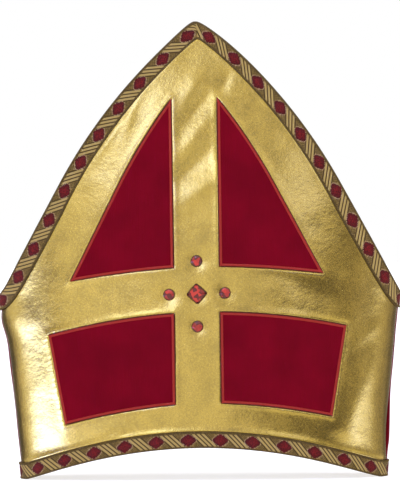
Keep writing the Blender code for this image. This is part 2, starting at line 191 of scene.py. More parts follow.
# The ribbon's woven pattern, in threads. Across a repeat a slanting place is counted from a diamond's middle.
REPEAT_THREADS = 31
RIBBON_THREADS = 16
DIAMOND_HALF_LENGTH = 7.6
DIAMOND_HALF_HEIGHT = 6.1
DIAMOND_FULLNESS = 1.25  # 1 gives straight sides, more gives fuller ones
OUTLINE_THREADS = 1.1
HEART_HALF_LENGTH = 3.4
HEART_HALF_HEIGHT = 3.2
DARK_LINES = (8.6, 13.2, 17.8, 22.4)
DARK_LINE_HALF = 0.85
SOFT_EDGE = 0.15
# The chequered ground between the diamonds and the bars, as slanting places, and how far from the ribbon's
# middle it starts and is full.
LOW_CORNER = (0.5, 9.0)
HIGH_CORNER = (22.0, 30.5)
CORNER_START, CORNER_END = 0.8, 1.6
SELVEDGE_THREADS = 1.8
SPECKS = (6.3, 7.2)  # gold stitches between these distances from the ribbon's middle
SELVEDGE_START, SELVEDGE_FULL = -0.1, 0.2  # where the selvedge's colour comes in, past the edge of the weave
CHEQUER_RATE = 2.9  # radians for each thread
SPECK_RATE = 3.1
WEAVE_RATE = 12.0
OUTLINE_RELIEF = 0.10  # heights of the weave in millimetres
BAR_RELIEF = 0.10
LINE_DEPTH = 0.20
RIB_RELIEF = 0.015
OUTLINE_PLACE = 1.2  # of the raised outline, where 1 is the edge of the diamond
OUTLINE_SPREAD = 0.15
BARS_FROM = 1.3
BARS_FADE = 0.3
SELVEDGE_FADE = 0.8
Pattern = namedtuple("Pattern", "first repeat shear")
# The pattern on each half of an arch: the first diamond's distance from the peak, the repeat, and the lean
# that came from sewing the ribbon on tight.
PATTERNS = {
    -1: Pattern(first=0.0122, repeat=0.0248, shear=0.0),
    1: Pattern(first=0.0149, repeat=0.0252, shear=0.15),
}
END_PROUD = 0.0012  # the left end of the front ribbon stands off the wall
END_PROUD_REACH = 0.016

Fold = namedtuple("Fold", "x z turn reach width lift")
# Soft folds and dents, seen from the front: place, degrees from level, half length, half width, lift.
FRONT_FOLDS = (
    Fold(x=0.118, z=0.063, turn=65, reach=0.040, width=0.013, lift=0.0019),
    Fold(x=-0.098, z=0.070, turn=96, reach=0.070, width=0.020, lift=0.0012),
    Fold(x=0.090, z=0.136, turn=150, reach=0.022, width=0.010, lift=-0.0006),
    Fold(x=-0.0045, z=0.293, turn=60, reach=0.018, width=0.007, lift=0.0007),
    Fold(x=0.000, z=0.277, turn=56, reach=0.024, width=0.007, lift=-0.0008),
    Fold(x=-0.003, z=0.255, turn=54, reach=0.024, width=0.007, lift=0.0005),
    Fold(x=-0.0045, z=0.234, turn=42, reach=0.024, width=0.008, lift=-0.0010),
    Fold(x=0.002, z=0.216, turn=38, reach=0.020, width=0.007, lift=0.0006),
    Fold(x=-0.032, z=0.288, turn=75, reach=0.018, width=0.006, lift=0.0008),
)
BACK_FOLDS = (
    Fold(x=-0.060, z=0.150, turn=80, reach=0.080, width=0.022, lift=0.0010),
    Fold(x=0.070, z=0.110, turn=100, reach=0.070, width=0.024, lift=-0.0010),
    Fold(x=0.137, z=0.036, turn=90, reach=0.024, width=0.016, lift=0.0016),
)
# Shallow creases of the gold cloth alone.
LAME_FOLDS = (
    Fold(x=-0.066, z=0.262, turn=62, reach=0.024, width=0.005, lift=0.0005),
    Fold(x=-0.052, z=0.268, turn=74, reach=0.014, width=0.004, lift=0.0004),
    Fold(x=0.018, z=0.292, turn=68, reach=0.012, width=0.004, lift=-0.0006),
    Fold(x=0.047, z=0.268, turn=24, reach=0.016, width=0.0016, lift=0.0002),
    Fold(x=0.034, z=0.276, turn=52, reach=0.009, width=0.0014, lift=0.0002),
    Fold(x=0.1245, z=0.108, turn=37, reach=0.018, width=0.005, lift=0.0004),
    Fold(x=-0.070, z=0.030, turn=38, reach=0.010, width=0.003, lift=0.0004),
    Fold(x=-0.055, z=0.033, turn=52, reach=0.010, width=0.003, lift=-0.0003),
)


def half_width(z, turn=0.0):
    """Half width of the plan at a height, with the sag on the right side and the flare on the left."""
    straight = RIM_HALF_WIDTH + (SHOULDER_HALF_WIDTH - RIM_HALF_WIDTH) * z / SHOULDER_HEIGHT
    sag = SAG * np.exp(-(((z - SAG_HEIGHT) / SAG_REACH) ** 2))
    flare = FLARE * np.exp(-(((z - FLARE_HEIGHT) / FLARE_REACH) ** 2))
    right, left = np.maximum(0.0, np.sin(turn)), np.maximum(0.0, -np.sin(turn))
    return straight + sag * right**SIDE_POWER + flare * left**SIDE_POWER


def half_depth(z):
    """Half depth of the plan: one parabola through the rim, the shoulder and the peak."""
    s, p = SHOULDER_HEIGHT, PEAK_HEIGHT
    rim = RIM_HALF_DEPTH * (z - s) * (z - p) / (s * p)
    shoulder = SHOULDER_HALF_DEPTH * z * (z - p) / (s * (s - p))
    peak = PEAK_HALF_DEPTH * z * (z - s) / (p * (p - s))
    return rim + shoulder + peak


ARC_START_X = SHOULDER_HALF_WIDTH - ARCH_STRAIGHT * math.sin(ARCH_LEAN)
ARC_CENTRE_X = ARC_START_X - ARCH_RADIUS * math.cos(ARCH_LEAN)
ARC_CENTRE_Z = SHOULDER_HEIGHT + ARCH_STRAIGHT * math.cos(ARCH_LEAN) - ARCH_RADIUS * math.sin(ARCH_LEAN)


def arch_height(x, rounding=PEAK_ROUNDING):
    """Height of the arch edge at a distance from the middle: straight from the shoulder, then one arc."""
    x = np.hypot(x, rounding)
    straight = SHOULDER_HEIGHT + (SHOULDER_HALF_WIDTH - x) / math.tan(ARCH_LEAN)
    arc = ARC_CENTRE_Z + np.sqrt(np.maximum(0.0, ARCH_RADIUS**2 - (x - ARC_CENTRE_X) ** 2))
    return np.where(x > ARC_START_X, straight, arc)


def top_height(turn):
    """Height at which a column of the wall meets the arch edge, found by stepping up and down the column."""
    z = np.full(np.shape(turn), SHOULDER_HEIGHT)
    for _ in range(TOP_TRIES):
        z = arch_height(half_width(z) * np.abs(np.sin(turn)))
    return z


def rim_height(turn):
    """Height of the rim at a column: flat by the side seams, then rising to the middle."""
    share = 1 - (np.sin(turn) / RIM_REST_SHARE) ** 2
    return RIM_RISE * np.maximum(0.0, share) ** RIM_POWER


def smooth_step(share):
    share = np.clip(share, 0.0, 1.0)
    return share * share * (3 - 2 * share)


def folds_at(folds, x, z):
    """Sum of the folds' lifts at places seen from the front."""
    lift = np.zeros(np.broadcast(x, z).shape)
    for fold in folds:
        lean = math.radians(fold.turn)
        along = (x - fold.x) * math.cos(lean) + (z - fold.z) * math.sin(lean)
        across = (z - fold.z) * math.cos(lean) - (x - fold.x) * math.sin(lean)
        lift = lift + fold.lift * np.exp(-((along / fold.reach) ** 2) - (across / fold.width) ** 2)
    return lift


def fold_lift(side, turn, z):
    """How far the main folds push the wall out. They die out beside the ribbons."""
    x = half_width(z) * np.sin(turn)
    to_arch = (top_height(turn) - z) * math.sin(ARCH_LEAN) - ARCH_RIBBON_WIDTH
    to_rim = z - rim_height(turn) - RIM_RIBBON_WIDTH
    folds = folds_at(FRONT_FOLDS if side == FRONT else BACK_FOLDS, x, z)
    return folds * smooth_step(to_arch / FOLD_FADE) * smooth_step(to_rim / FOLD_FADE)


def outward(turn, z):
    """Level directions that point straight out of the wall."""
    turn, z = np.broadcast_arrays(turn, z)
    across = half_depth(z) * PLAN_POWER * np.sin(turn)
    ahead = half_width(z) * np.abs(np.cos(turn)) ** (2 - PLAN_POWER)
    direction = np.stack((across, np.copysign(ahead, -np.cos(turn)), np.zeros(z.shape)), axis=-1)
    return direction / np.linalg.norm(direction, axis=-1, keepdims=True)


def sway(z):
    """How far the peaks lean to the left at a height."""
    return PEAK_SWAY * (np.maximum(0.0, z - PEAK_SWAY_FROM) / PEAK_SWAY_REACH) ** PEAK_SWAY_POWER


def wall_point(side, turn, z, lift=0.0):
    """Points of the outer wall, lifted off it. The turn runs round the plan from the front's middle."""
    turn, z = np.broadcast_arrays(turn, z)
    x = half_width(z, turn) * np.sin(turn) - sway(z)
    y = np.copysign(half_depth(z) * np.abs(np.cos(turn)) ** PLAN_POWER, -np.cos(turn))
    seamed = np.stack((x, y + side * SEAM_GAP / 2, z), axis=-1)
    return seamed + outward(turn, z) * (lift + fold_lift(side, turn, z))[..., None]


def turn_of(x, z):
    """The turn at which the front wall lies at a place seen from the front."""
    return np.arcsin((x + sway(z)) / half_width(z))


def middle_and_span(side):
    """The turn at a wall's middle, and from there to a side seam."""
    return (0.0, SEAM_TURN) if side == FRONT else (math.pi, math.pi - SEAM_TURN)


def evened(share):
    """Shares of a wall from its middle to a seam, set closer by the seam, where the wall turns most."""
    return COLUMN_EVENNESS * share + (1 - COLUMN_EVENNESS) * np.sin(math.pi / 2 * share)


def column_turns(side, columns):
    """Turns of a wall's columns from seam to seam."""
    middle, span = middle_and_span(side)
    return middle + span * evened(np.linspace(-1, 1, columns + 1))


def lengths_along(points):
    """How far along a line of points each one lies."""
    return np.concatenate(([0], np.cumsum(np.linalg.norm(np.diff(points, axis=0), axis=1))))


def rolling_noise(points, size, seed):
    """Smooth noise from -1 to 1 at points, which changes over about the given size."""
    flat = points.reshape(-1, 3) / size + seed * SEED_STEP
    values = [noise.noise(Vector(p)) for p in flat.tolist()]
    return np.array(values).reshape(points.shape[:-1])


def waved(points, *waves):
    """Heights of slow waves at points."""
    return sum(rolling_noise(points, wave.size, wave.seed) * wave.height for wave in waves)


# ---- turning grids of points into meshes -------------------------------------------------------------------


def grid_quads(first, rows, columns, step=1):
    """Corner numbers of a grid's faces, where a row holds that many points and every step-th row counts."""
    corner = first + np.arange(rows)[:, None] * columns * step + np.arange(columns - 1)[None, :]
    corner = corner[:-1].reshape(-1)
    up = columns * step
    return np.stack((corner, corner + 1, corner + 1 + up, corner + up), axis=1).tolist()


def closed_sheet(outer, inner, step=1):
    """Points and faces of a closed cloth between two grids. The inner one has a row for each step outer ones.

    The faces come as those of the outside, those of the inside, and those of the four edges.
    """
    rows, columns = outer.shape[:2]
    inner_rows = inner.shape[0]
    start = rows * columns
    points = np.concatenate((outer.reshape(-1, 3), inner.reshape(-1, 3)))
    outside = grid_quads(0, rows, columns)
    inside = [face[::-1] for face in grid_quads(start, inner_rows, columns)]
    edges = []
    last, inner_last = (rows - 1) * columns, start + (inner_rows - 1) * columns
    for c in range(columns - 1):
        edges.append((c + 1, c, start + c, start + c + 1))
        edges.append((last + c, last + c + 1, inner_last + c + 1, inner_last + c))
    for c in (0, columns - 1):
        for r in range(inner_rows - 1):
            face = [(r * step + k) * columns + c for k in range(step + 1)]
            face += [start + (r + 1) * columns + c, start + r * columns + c]
            edges.append(face if c else face[::-1])
    return points, (outside, inside, edges)


def new_piece(name, points, faces, materials, indices=None, sharp_angle=40):
    """An object of the given points and faces, shaded smooth but for its sharp edges."""
    mesh = bpy.data.meshes.new(name)
    mesh.from_pydata([tuple(p) for p in np.asarray(points).tolist()], [], faces)
    for material in materials:
        mesh.materials.append(material)
    if indices is not None:
        mesh.polygons.foreach_set("material_index", indices)
    mesh.shade_smooth()
    mesh.set_sharp_from_angle(angle=math.radians(sharp_angle))
    mesh.update()
    piece = bpy.data.objects.new(name, mesh)
    bpy.context.scene.collection.objects.link(piece)
    return piece


def give_uv(piece, name, values):
    """Gives a mesh a UV map from one pair of numbers for each of its points."""
    mesh = piece.data
    corners = np.zeros(len(mesh.loops), np.int32)
    mesh.loops.foreach_get("vertex_index", corners)
    mesh.uv_layers.new(name=name).uv.foreach_set("vector", values[corners].astype(np.float32).ravel())


def give_values(piece, name, values):
    """Gives each point of a mesh a number for its material."""
    data = piece.data.attributes.new(name, "FLOAT", "POINT").data
    data.foreach_set("value", np.asarray(values).astype(np.float32))


def settle(piece, *nodes, slot=None):
    """The piece rides on the mitre and stands for its plain solids."""
    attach(piece, "root")
    if nodes:
        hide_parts(*nodes)
    return piece


# ---- outlines of the velvet fields -------------------------------------------------------------------------

EDGE_STEPS = 40


def straight_edge(start, end, bow=0.0):
    """Points from start to end. Bow lifts the middle, so that the edge follows the rim."""
    t = np.linspace(0, 1, EDGE_STEPS + 1)
    x = start[0] + (end[0] - start[0]) * t
    z = start[1] + (end[1] - start[1]) * t + 4 * bow * t * (1 - t)
    return np.stack((x, z), axis=1)


def upper_edges():
    """Foot, outer, head and inner edge of a right upper field. Its head is the tip, a short edge."""
    above_shoulder = UPPER_FIELD_OUTER_FOOT - SHOULDER_HEIGHT
    foot_x = SHOULDER_HALF_WIDTH - above_shoulder * math.tan(ARCH_LEAN) - UPPER_FIELD_FOOT_FROM_ARCH
    inner_foot = (CROSS_HALF_WIDTH, UPPER_FIELD_INNER_FOOT)
    t = np.linspace(0, 1, EDGE_STEPS + 1)
    x = foot_x + (CROSS_HALF_WIDTH - foot_x) * t
    from_arch = UPPER_FIELD_FOOT_FROM_ARCH + (UPPER_FIELD_TIP_FROM_ARCH - UPPER_FIELD_FOOT_FROM_ARCH) * t
    outer = np.stack((x, arch_height(x + from_arch)), axis=1)
    foot = straight_edge(inner_foot, outer[0], UPPER_FOOT_BOW)
    return foot, outer, outer[-1:], straight_edge(outer[-1], inner_foot)


def lower_edges():
    """Foot, outer, head and inner edge of a right lower field."""
    inner_foot = (CROSS_HALF_WIDTH, LOWER_FIELD_INNER_FOOT)
    outer_foot = (LOWER_FIELD_FOOT_REACH, LOWER_FIELD_OUTER_FOOT)
    outer_head = (LOWER_FIELD_HEAD_REACH, LOWER_FIELD_OUTER_HEAD)
    inner_head = (CROSS_HALF_WIDTH, LOWER_FIELD_INNER_HEAD)
    return (
        straight_edge(inner_foot, outer_foot, LOWER_FOOT_BOW),
        straight_edge(outer_foot, outer_head),
        straight_edge(outer_head, inner_head, LOWER_HEAD_BOW),
        straight_edge(inner_head, inner_foot),
    )


def outline_of(edges):
    """One closed outline, without the points that two edges share."""
    return np.concatenate([edge[:-1] if len(edge) > 1 else edge[:0] for edge in edges])


def shrunk(outline, distance):
    """The outline moved inwards by a distance, with its corners kept sharp."""
    ahead = np.roll(outline, -1, axis=0) - outline
    ahead /= np.linalg.norm(ahead, axis=1, keepdims=True)
    behind = np.roll(ahead, 1, axis=0)
    inward = np.stack((-(ahead + behind)[:, 1], (ahead + behind)[:, 0]), axis=1)
    inward /= np.linalg.norm(inward, axis=1, keepdims=True)
    straight = np.stack((-ahead[:, 1], ahead[:, 0]), axis=1)
    stretch = 1 / np.maximum(SHARPEST_CORNER, (inward * straight).sum(axis=1))
    return outline + inward * (distance * stretch)[:, None]


def spaced(outline, step):
    """The closed outline again, with points about a step apart."""
    closed = np.concatenate((outline, outline[:1]))
    along = lengths_along(closed)
    at = np.linspace(0, along[-1], int(along[-1] / step), endpoint=False)
    return np.stack((np.interp(at, along, closed[:, 0]), np.interp(at, along, closed[:, 1])), axis=1)


def near_outline(x, z, outline):
    """Distance of places to an outline, negative inside it, and how far along it the nearest point lies."""
    run = np.roll(outline, -1, axis=0) - outline
    length = np.linalg.norm(run, axis=1)
    gone = np.concatenate(([0], np.cumsum(length)[:-1]))
    best = np.full(x.shape, np.inf)
    along = np.zeros(x.shape)
    crossings = np.zeros(x.shape, int)
    for i in range(len(outline)):
        dx, dz = x - outline[i, 0], z - outline[i, 1]
        t = np.clip((dx * run[i, 0] + dz * run[i, 1]) / length[i] ** 2, 0, 1)
        distance = np.hypot(dx - t * run[i, 0], dz - t * run[i, 1])
        nearer = distance < best
        best = np.where(nearer, distance, best)
        along = np.where(nearer, gone[i] + t * length[i], along)
        if run[i, 1] != 0:
            height = dz / run[i, 1]
            crossings += (height >= 0) & (height < 1) & (dx < height * run[i, 0])
    return np.where(crossings % 2 == 1, -best, best), along


def on_cross(places):
    """Where places of the cross's even design lie on the wall."""
    x, z = places[..., 0], places[..., 1]
    return np.stack((x - CROSS_SHIFT - CROSS_LEAN * (z - STONE_CENTRE_HEIGHT), z + CROSS_TILT * x), axis=-1)


def mirrored(edges):
    """The four edges of a left field, still running the same way round: foot, inner, head and outer edge."""
    foot, outer, head, inner = ((edge * (-1, 1))[::-1] for edge in edges)
    return foot, inner, head, outer


def all_fields():
    fields = {}
    for level, edges in (("upper", upper_edges()), ("lower", lower_edges())):
        fields[level + "_right"] = [on_cross(edge) for edge in edges]
        fields[level + "_left"] = [on_cross(edge) for edge in mirrored(edges)]
    return fields


FIELDS = all_fields()
STONES = {
    word: on_cross(np.array((x, z)))
    for word, x, z in (
        ("centre", 0.0, STONE_CENTRE_HEIGHT),
        ("top", 0.0, STONE_CENTRE_HEIGHT + STONE_SPACING_UP),
        ("bottom", 0.0, STONE_CENTRE_HEIGHT - STONE_SPACING_UP),
        ("left", -STONE_SPACING_ACROSS, STONE_CENTRE_HEIGHT),
        ("right", STONE_SPACING_ACROSS, STONE_CENTRE_HEIGHT),
    )
}


# ---- surfaces: the helpers that build materials ------------------------------------------------------------

NOISE_LOW, NOISE_HIGH = 0.3, 0.7  # most values of a noise lie between these
NAP_ROWS = (1500, 1500, 60)  # the pile's rows are fine across and long up


class Recipe:
    """A material, node group or world under construction, whose nodes are added one after another."""

    def __init__(self, name, shader=None, world=None):
        self.material = world or bpy.data.materials.new(name)
        self.material.use_nodes = True
        self.tree = self.material.node_tree
        self.shader = self.tree.nodes["Background" if world else "Principled BSDF"]
        for socket, value in (shader or {}).items():
            self.put(self.shader.inputs[socket], value)

    def put(self, socket, value):
        """Links a socket to another one, or sets its number or colour."""
        if isinstance(value, bpy.types.NodeSocket):
            self.tree.links.new(value, socket)
        elif value is not None:
            socket.default_value = (*value, 1) if socket.type == "RGBA" and len(value) == 3 else value

    def node(self, kind, inputs=None, **settings):
        made = self.tree.nodes.new(kind)
        for setting, value in settings.items():
            setattr(made, setting, value)
        for socket, value in (inputs or {}).items():
            self.put(made.inputs[socket], value)
        return made

    def math(self, operation, *values):
        return self.node("ShaderNodeMath", dict(enumerate(values)), operation=operation).outputs[0]

    def plus(self, a, b):
        return self.math("ADD", a, b)

    def minus(self, a, b):
        return self.math("SUBTRACT", a, b)

    def times(self, a, b):
        return self.math("MULTIPLY", a, b)

    def mix(self, share, a, b):
        return self.node("ShaderNodeMix", {0: share, 6: a, 7: b}, data_type="RGBA").outputs[2]

    def between(self, value, low, high):
        """1 where the value lies between low and high, else 0, with soft edges."""
        rise = self.ramp(value, low - SOFT_EDGE, low + SOFT_EDGE)
        fall = self.ramp(value, high - SOFT_EDGE, high + SOFT_EDGE, at_start=1, at_end=0)
        return self.times(rise, fall)

    def ramp(self, value, start, end, at_start=0, at_end=1, smooth=False):
        """What a value gives that runs between two others while the first runs from start to end."""
        inputs = {0: value, 1: start, 2: end, 3: at_start, 4: at_end}
        kind = "SMOOTHSTEP" if smooth else "LINEAR"
        return self.node("ShaderNodeMapRange", inputs, interpolation_type=kind).outputs[0]

    def place(self):
        return self.node("ShaderNodeTexCoord").outputs["Object"]

    def carried(self, name):
        """A value that the mesh carries."""
        return self.node("ShaderNodeAttribute", attribute_name=name).outputs["Fac"]

    def noise(self, scale, detail=2.0, vector=None, roughness=0.5):
        inputs = {"Vector": vector or self.place(), "Scale": scale, "Detail": detail, "Roughness": roughness}
        return self.node("ShaderNodeTexNoise", inputs).outputs["Fac"]

    def bump(self, height, strength, distance, normal=None):
        inputs = {"Height": height, "Strength": strength, "Distance": distance, "Normal": normal}
        return self.node("ShaderNodeBump", inputs).outputs["Normal"]

    def finish(self, **sockets):
        """Links the last nodes to the shader and gives the material."""
        for socket, value in sockets.items():
            self.put(self.shader.inputs[socket.replace("_", " ")], value)
        return self.material


def shade(colour, factor):
    """The colour, made darker or lighter."""
    return tuple(min(1.0, c * factor) for c in colour)


def lame_material(colours):
    """Gold foil on a soft knit: mirror-like, with a fine grain, small wrinkles and a roll by each seam."""
    gold = Recipe("gold lamé", {"Metallic": 1.0, "Coat Weight": 1.0, "Coat Roughness": 0.22})
    sewn = gold.carried(SEWN)
    grain = gold.noise(scale=2600, detail=3, roughness=0.7)
    flecks = gold.noise(scale=900)
    cloud = gold.noise(scale=60, detail=3)
    wrinkle = gold.noise(scale=300, detail=3, roughness=0.6)
    spots = gold.plus(flecks, cloud)
    dull, bright = shade(colours.lame, 0.80), shade(colours.lame, 1.06)
    tone = gold.mix(gold.ramp(spots, 0.75, 1.2), dull, bright)
    rough = gold.ramp(spots, 0.7, 1.3, at_start=0.17, at_end=0.25)
    fold = gold.times(sewn, gold.math("EXPONENT", gold.times(sewn, -1.0)))
    rolled = gold.bump(fold, strength=1.0, distance=0.0007)
    broad = gold.bump(wrinkle, strength=0.16, distance=0.0010, normal=rolled)
    fine = gold.bump(grain, strength=0.30, distance=0.00005, normal=broad)
    return gold.finish(Base_Color=tone, Roughness=rough, Normal=fine)


def velvet_material(colours, name, deep=1.0):
    """Short-pile velvet: dark head on, lighter where the pile leans, with a soft sheen at its turns."""
    pile = Recipe(
        name,
        {"Roughness": 0.9, "Sheen Weight": 0.20, "Sheen Roughness": 0.30, "Specular IOR Level": 0.05},
    )
    pile.put(pile.shader.inputs["Sheen Tint"], colours.velvet_sheen)
    nap = pile.noise(scale=45, detail=3)
    tufts = pile.noise(scale=2300)
    stretched = pile.node("ShaderNodeVectorMath", {0: pile.place(), 1: NAP_ROWS}, operation="MULTIPLY")
    rows = pile.noise(scale=1, detail=1, vector=stretched.outputs[0])
    base = shade(colours.velvet, deep)
    tone = pile.mix(pile.ramp(nap, NOISE_LOW, NOISE_HIGH), shade(base, 0.86), shade(base, 1.14))
    tone = pile.mix(pile.ramp(rows, 0.2, 0.8, at_end=0.35), tone, shade(base, 0.7))
    relief = pile.bump(pile.plus(tufts, rows), strength=0.5, distance=0.00025)
    return pile.finish(Base_Color=tone, Normal=relief)


def satin_material(colours):
    """Shiny embroidery thread: painted shade in dark red-brown where it dives in on the gold side, bright on
    its crest.
    """
    satin = Recipe("satin stitch", {"Roughness": 0.5, "Specular IOR Level": 0.2})
    # Painted shade: the outer side of each stitch is painted dark red-brown, fading out towards the crest.
    crest = satin.ramp(satin.carried(ACROSS), 0.16, 0.42, smooth=True)
    twist = satin.noise(scale=3000)
    bright = satin.mix(twist, shade(colours.satin, 0.8), shade(colours.satin, 1.15))
    tone = satin.mix(crest, colours.satin_painted_shade, bright)
    return satin.finish(Base_Color=tone, Normal=satin.bump(twist, strength=0.4, distance=0.0001))


def backing_material(colours):
    """Plain woven backing on the inside of the walls."""
    cloth = Recipe("backing cloth", {"Roughness": 0.92, "Sheen Weight": 0.1, "Specular IOR Level": 0.2})
    threads = {"Vector": cloth.place(), "Scale": 520, "Distortion": 0.6}
    warp, weft = (
        cloth.node("ShaderNodeTexWave", threads, bands_direction=way).outputs["Fac"] for way in "XZ"
    )
    weave = cloth.times(warp, weft)
    tone = cloth.mix(cloth.times(weave, 0.5), colours.backing, shade(colours.backing, 0.72))
    return cloth.finish(Base_Color=tone, Normal=cloth.bump(weave, strength=0.4, distance=0.0002))


def galloon_material(colours):
    """Woven ribbon: stepped red diamonds with a pale outline, and slanting gold bars between dark lines."""
    ribbon = Recipe("woven galloon", {"Roughness": 0.55, "Sheen Weight": 0.03, "Specular IOR Level": 0.25})
    weave = ribbon.node("ShaderNodeUVMap", uv_map=WEAVE).outputs["UV"]
    split = ribbon.node("ShaderNodeSeparateXYZ", {0: weave})
    along = ribbon.times(split.outputs[0], REPEAT_THREADS)
    across = ribbon.minus(ribbon.times(split.outputs[1], RIBBON_THREADS), RIBBON_THREADS / 2)
    half = REPEAT_THREADS / 2
    place = ribbon.minus(ribbon.math("FLOORED_MODULO", ribbon.plus(along, half), REPEAT_THREADS), half)
    slant = ribbon.math("FLOORED_MODULO", ribbon.minus(place, across), REPEAT_THREADS)
    step_along, step_across = (
        ribbon.math("ABSOLUTE", ribbon.plus(ribbon.math("FLOOR", way), 0.5)) for way in (place, across)
    )

    def diamond(length, height):
        """1 inside a diamond that steps from thread to thread."""
        lengthwise = ribbon.math("POWER", ribbon.math("DIVIDE", step_along, length), DIAMOND_FULLNESS)
        crosswise = ribbon.math("POWER", ribbon.math("DIVIDE", step_across, height), DIAMOND_FULLNESS)
        return ribbon.math("LESS_THAN", ribbon.plus(lengthwise, crosswise), 1.0)

    def crossed(rate):
        """A chequer of that many radians for each thread."""
        waves = (ribbon.math("SINE", ribbon.times(way, rate)) for way in (along, across))
        return ribbon.times(*waves)

    outline = diamond(DIAMOND_HALF_LENGTH + OUTLINE_THREADS, DIAMOND_HALF_HEIGHT + OUTLINE_THREADS)
    body = diamond(DIAMOND_HALF_LENGTH, DIAMOND_HALF_HEIGHT)
    heart = diamond(HEART_HALF_LENGTH, HEART_HALF_HEIGHT)
    checks = ribbon.ramp(crossed(CHEQUER_RATE), -0.4, 0.4)
    low_half = ribbon.ramp(across, CORNER_START, CORNER_END)
    high_half = ribbon.ramp(across, -CORNER_END, -CORNER_START, at_start=1, at_end=0)
    low_side = ribbon.times(ribbon.between(slant, *LOW_CORNER), low_half)
    high_side = ribbon.times(ribbon.between(slant, *HIGH_CORNER), high_half)
    corners = ribbon.math("MAXIMUM", low_side, high_side)
    lines = 0.0
    for middle in DARK_LINES:
        line = ribbon.between(slant, middle - DARK_LINE_HALF, middle + DARK_LINE_HALF)
        lines = ribbon.math("MAXIMUM", lines, line)
    pale = ribbon.between(slant, DARK_LINES[0], DARK_LINES[-1])
    edge_place = ribbon.math("ABSOLUTE", across)
    edge = RIBBON_THREADS / 2 - SELVEDGE_THREADS
    selvedge = ribbon.ramp(edge_place, edge + SELVEDGE_START, edge + SELVEDGE_FULL)
    specks = ribbon.ramp(ribbon.math("SINE", ribbon.times(along, SPECK_RATE)), 0.2, 0.8)
    specks = ribbon.times(specks, ribbon.between(edge_place, *SPECKS))

    fine = crossed(WEAVE_RATE)
    mottle = ribbon.noise(scale=1000)
    gold, dark = colours.galloon, colours.galloon_dark
    tone = ribbon.mix(ribbon.ramp(mottle, NOISE_LOW, NOISE_HIGH), shade(gold, 0.50), shade(gold, 1.35))
    tone = ribbon.mix(ribbon.times(pale, 0.80), tone, colours.galloon_pale)
    tone = ribbon.mix(ribbon.times(ribbon.times(corners, checks), 0.85), tone, dark)
    tone = ribbon.mix(lines, tone, dark)
    knots = ribbon.ramp(ribbon.noise(scale=1100, detail=1), 0.42, 0.55, at_start=0.15, at_end=0.95)
    tone = ribbon.mix(ribbon.times(outline, knots), tone, colours.diamond_outline)
    tone = ribbon.mix(body, tone, colours.diamond_edge)
    tone = ribbon.mix(heart, tone, colours.diamond_heart)
    tone = ribbon.mix(selvedge, tone, colours.selvedge)
    tone = ribbon.mix(ribbon.times(specks, 0.55), tone, gold)
    tone = ribbon.mix(ribbon.ramp(fine, -1, 1, at_end=0.40), tone, shade(dark, 0.4))
    metal = ribbon.times(ribbon.minus(1.0, ribbon.math("MAXIMUM", body, selvedge)), 0.35)
    height = ribbon.plus(ribbon.times(fine, 0.5), mottle)
    relief = ribbon.bump(height, strength=0.7, distance=0.0003)
    return ribbon.finish(Base_Color=tone, Metallic=metal, Normal=relief)


def silk_material(colours):
    """Silky floats of the ribbon's diamonds: dark red with a brighter heart."""
    silk = Recipe("diamond silk", {"Roughness": 0.6, "Specular IOR Level": 0.25})
    tone = silk.mix(silk.carried(HEART), colours.diamond_edge, colours.diamond_heart)
    fibre = silk.noise(scale=1300)
    gaps = silk.ramp(fibre, 0.42, 0.58, at_end=0.75)
    tone = silk.mix(gaps, tone, shade(colours.diamond_edge, 0.3))
    return silk.finish(Base_Color=tone, Normal=silk.bump(fibre, strength=0.4, distance=0.0001))


def selvedge_material(colours):
    """Dark twisted threads at the ribbons' edges."""
    cord = Recipe("selvedge thread", {"Roughness": 0.6, "Specular IOR Level": 0.3})
    fibre = cord.noise(scale=2200)
    speck = cord.ramp(cord.noise(scale=620, detail=1), 0.52, 0.66, at_end=0.6)
    tone = cord.mix(speck, colours.selvedge, shade(colours.galloon, 0.8))
    return cord.finish(Base_Color=tone, Normal=cord.bump(fibre, strength=0.4, distance=0.0001))


def stone_material(colours):
    """Moulded red stone with a foiled back: painted reflections of its facets in light and dark reds, and
    painted shade that darkens it towards its back into a dark rim.
    """
    stone = Recipe(
        "red stone",
        {"Metallic": 0.2, "Roughness": 0.12, "Coat Weight": 0.5, "Coat Roughness": 0.03, "IOR": 1.5},
    )
    # Painted reflections: random cells of lighter and darker red stand in for the facets showing each other.
    cells = stone.node("ShaderNodeTexVoronoi", {"Vector": stone.place(), "Scale": 330.0}).outputs["Color"]
    painted_facet_reflections = stone.ramp(stone.node("ShaderNodeSeparateColor", {0: cells}).outputs[0], 0.35, 0.75)
    tone = stone.mix(painted_facet_reflections, shade(colours.stone, 0.30), shade(colours.stone, 1.3))
    # Painted shade: the lower part of the stone, towards its back, is painted near-black, which gives it a
    # dark rim.
    painted_rim_shade = stone.ramp(stone.carried(CUT_HEIGHT), 0.45, 0.85, at_start=0.85, at_end=0, smooth=True)
    return stone.finish(Base_Color=stone.mix(painted_rim_shade, tone, shade(colours.stone, 0.12)))


# ---- stitches, made by geometry nodes along a path ---------------------------------------------------------

STITCH_TREE = "Stitches along a path"
BOW_STEPS = 4
OUTWARD, LENGTH = "outward", "length"


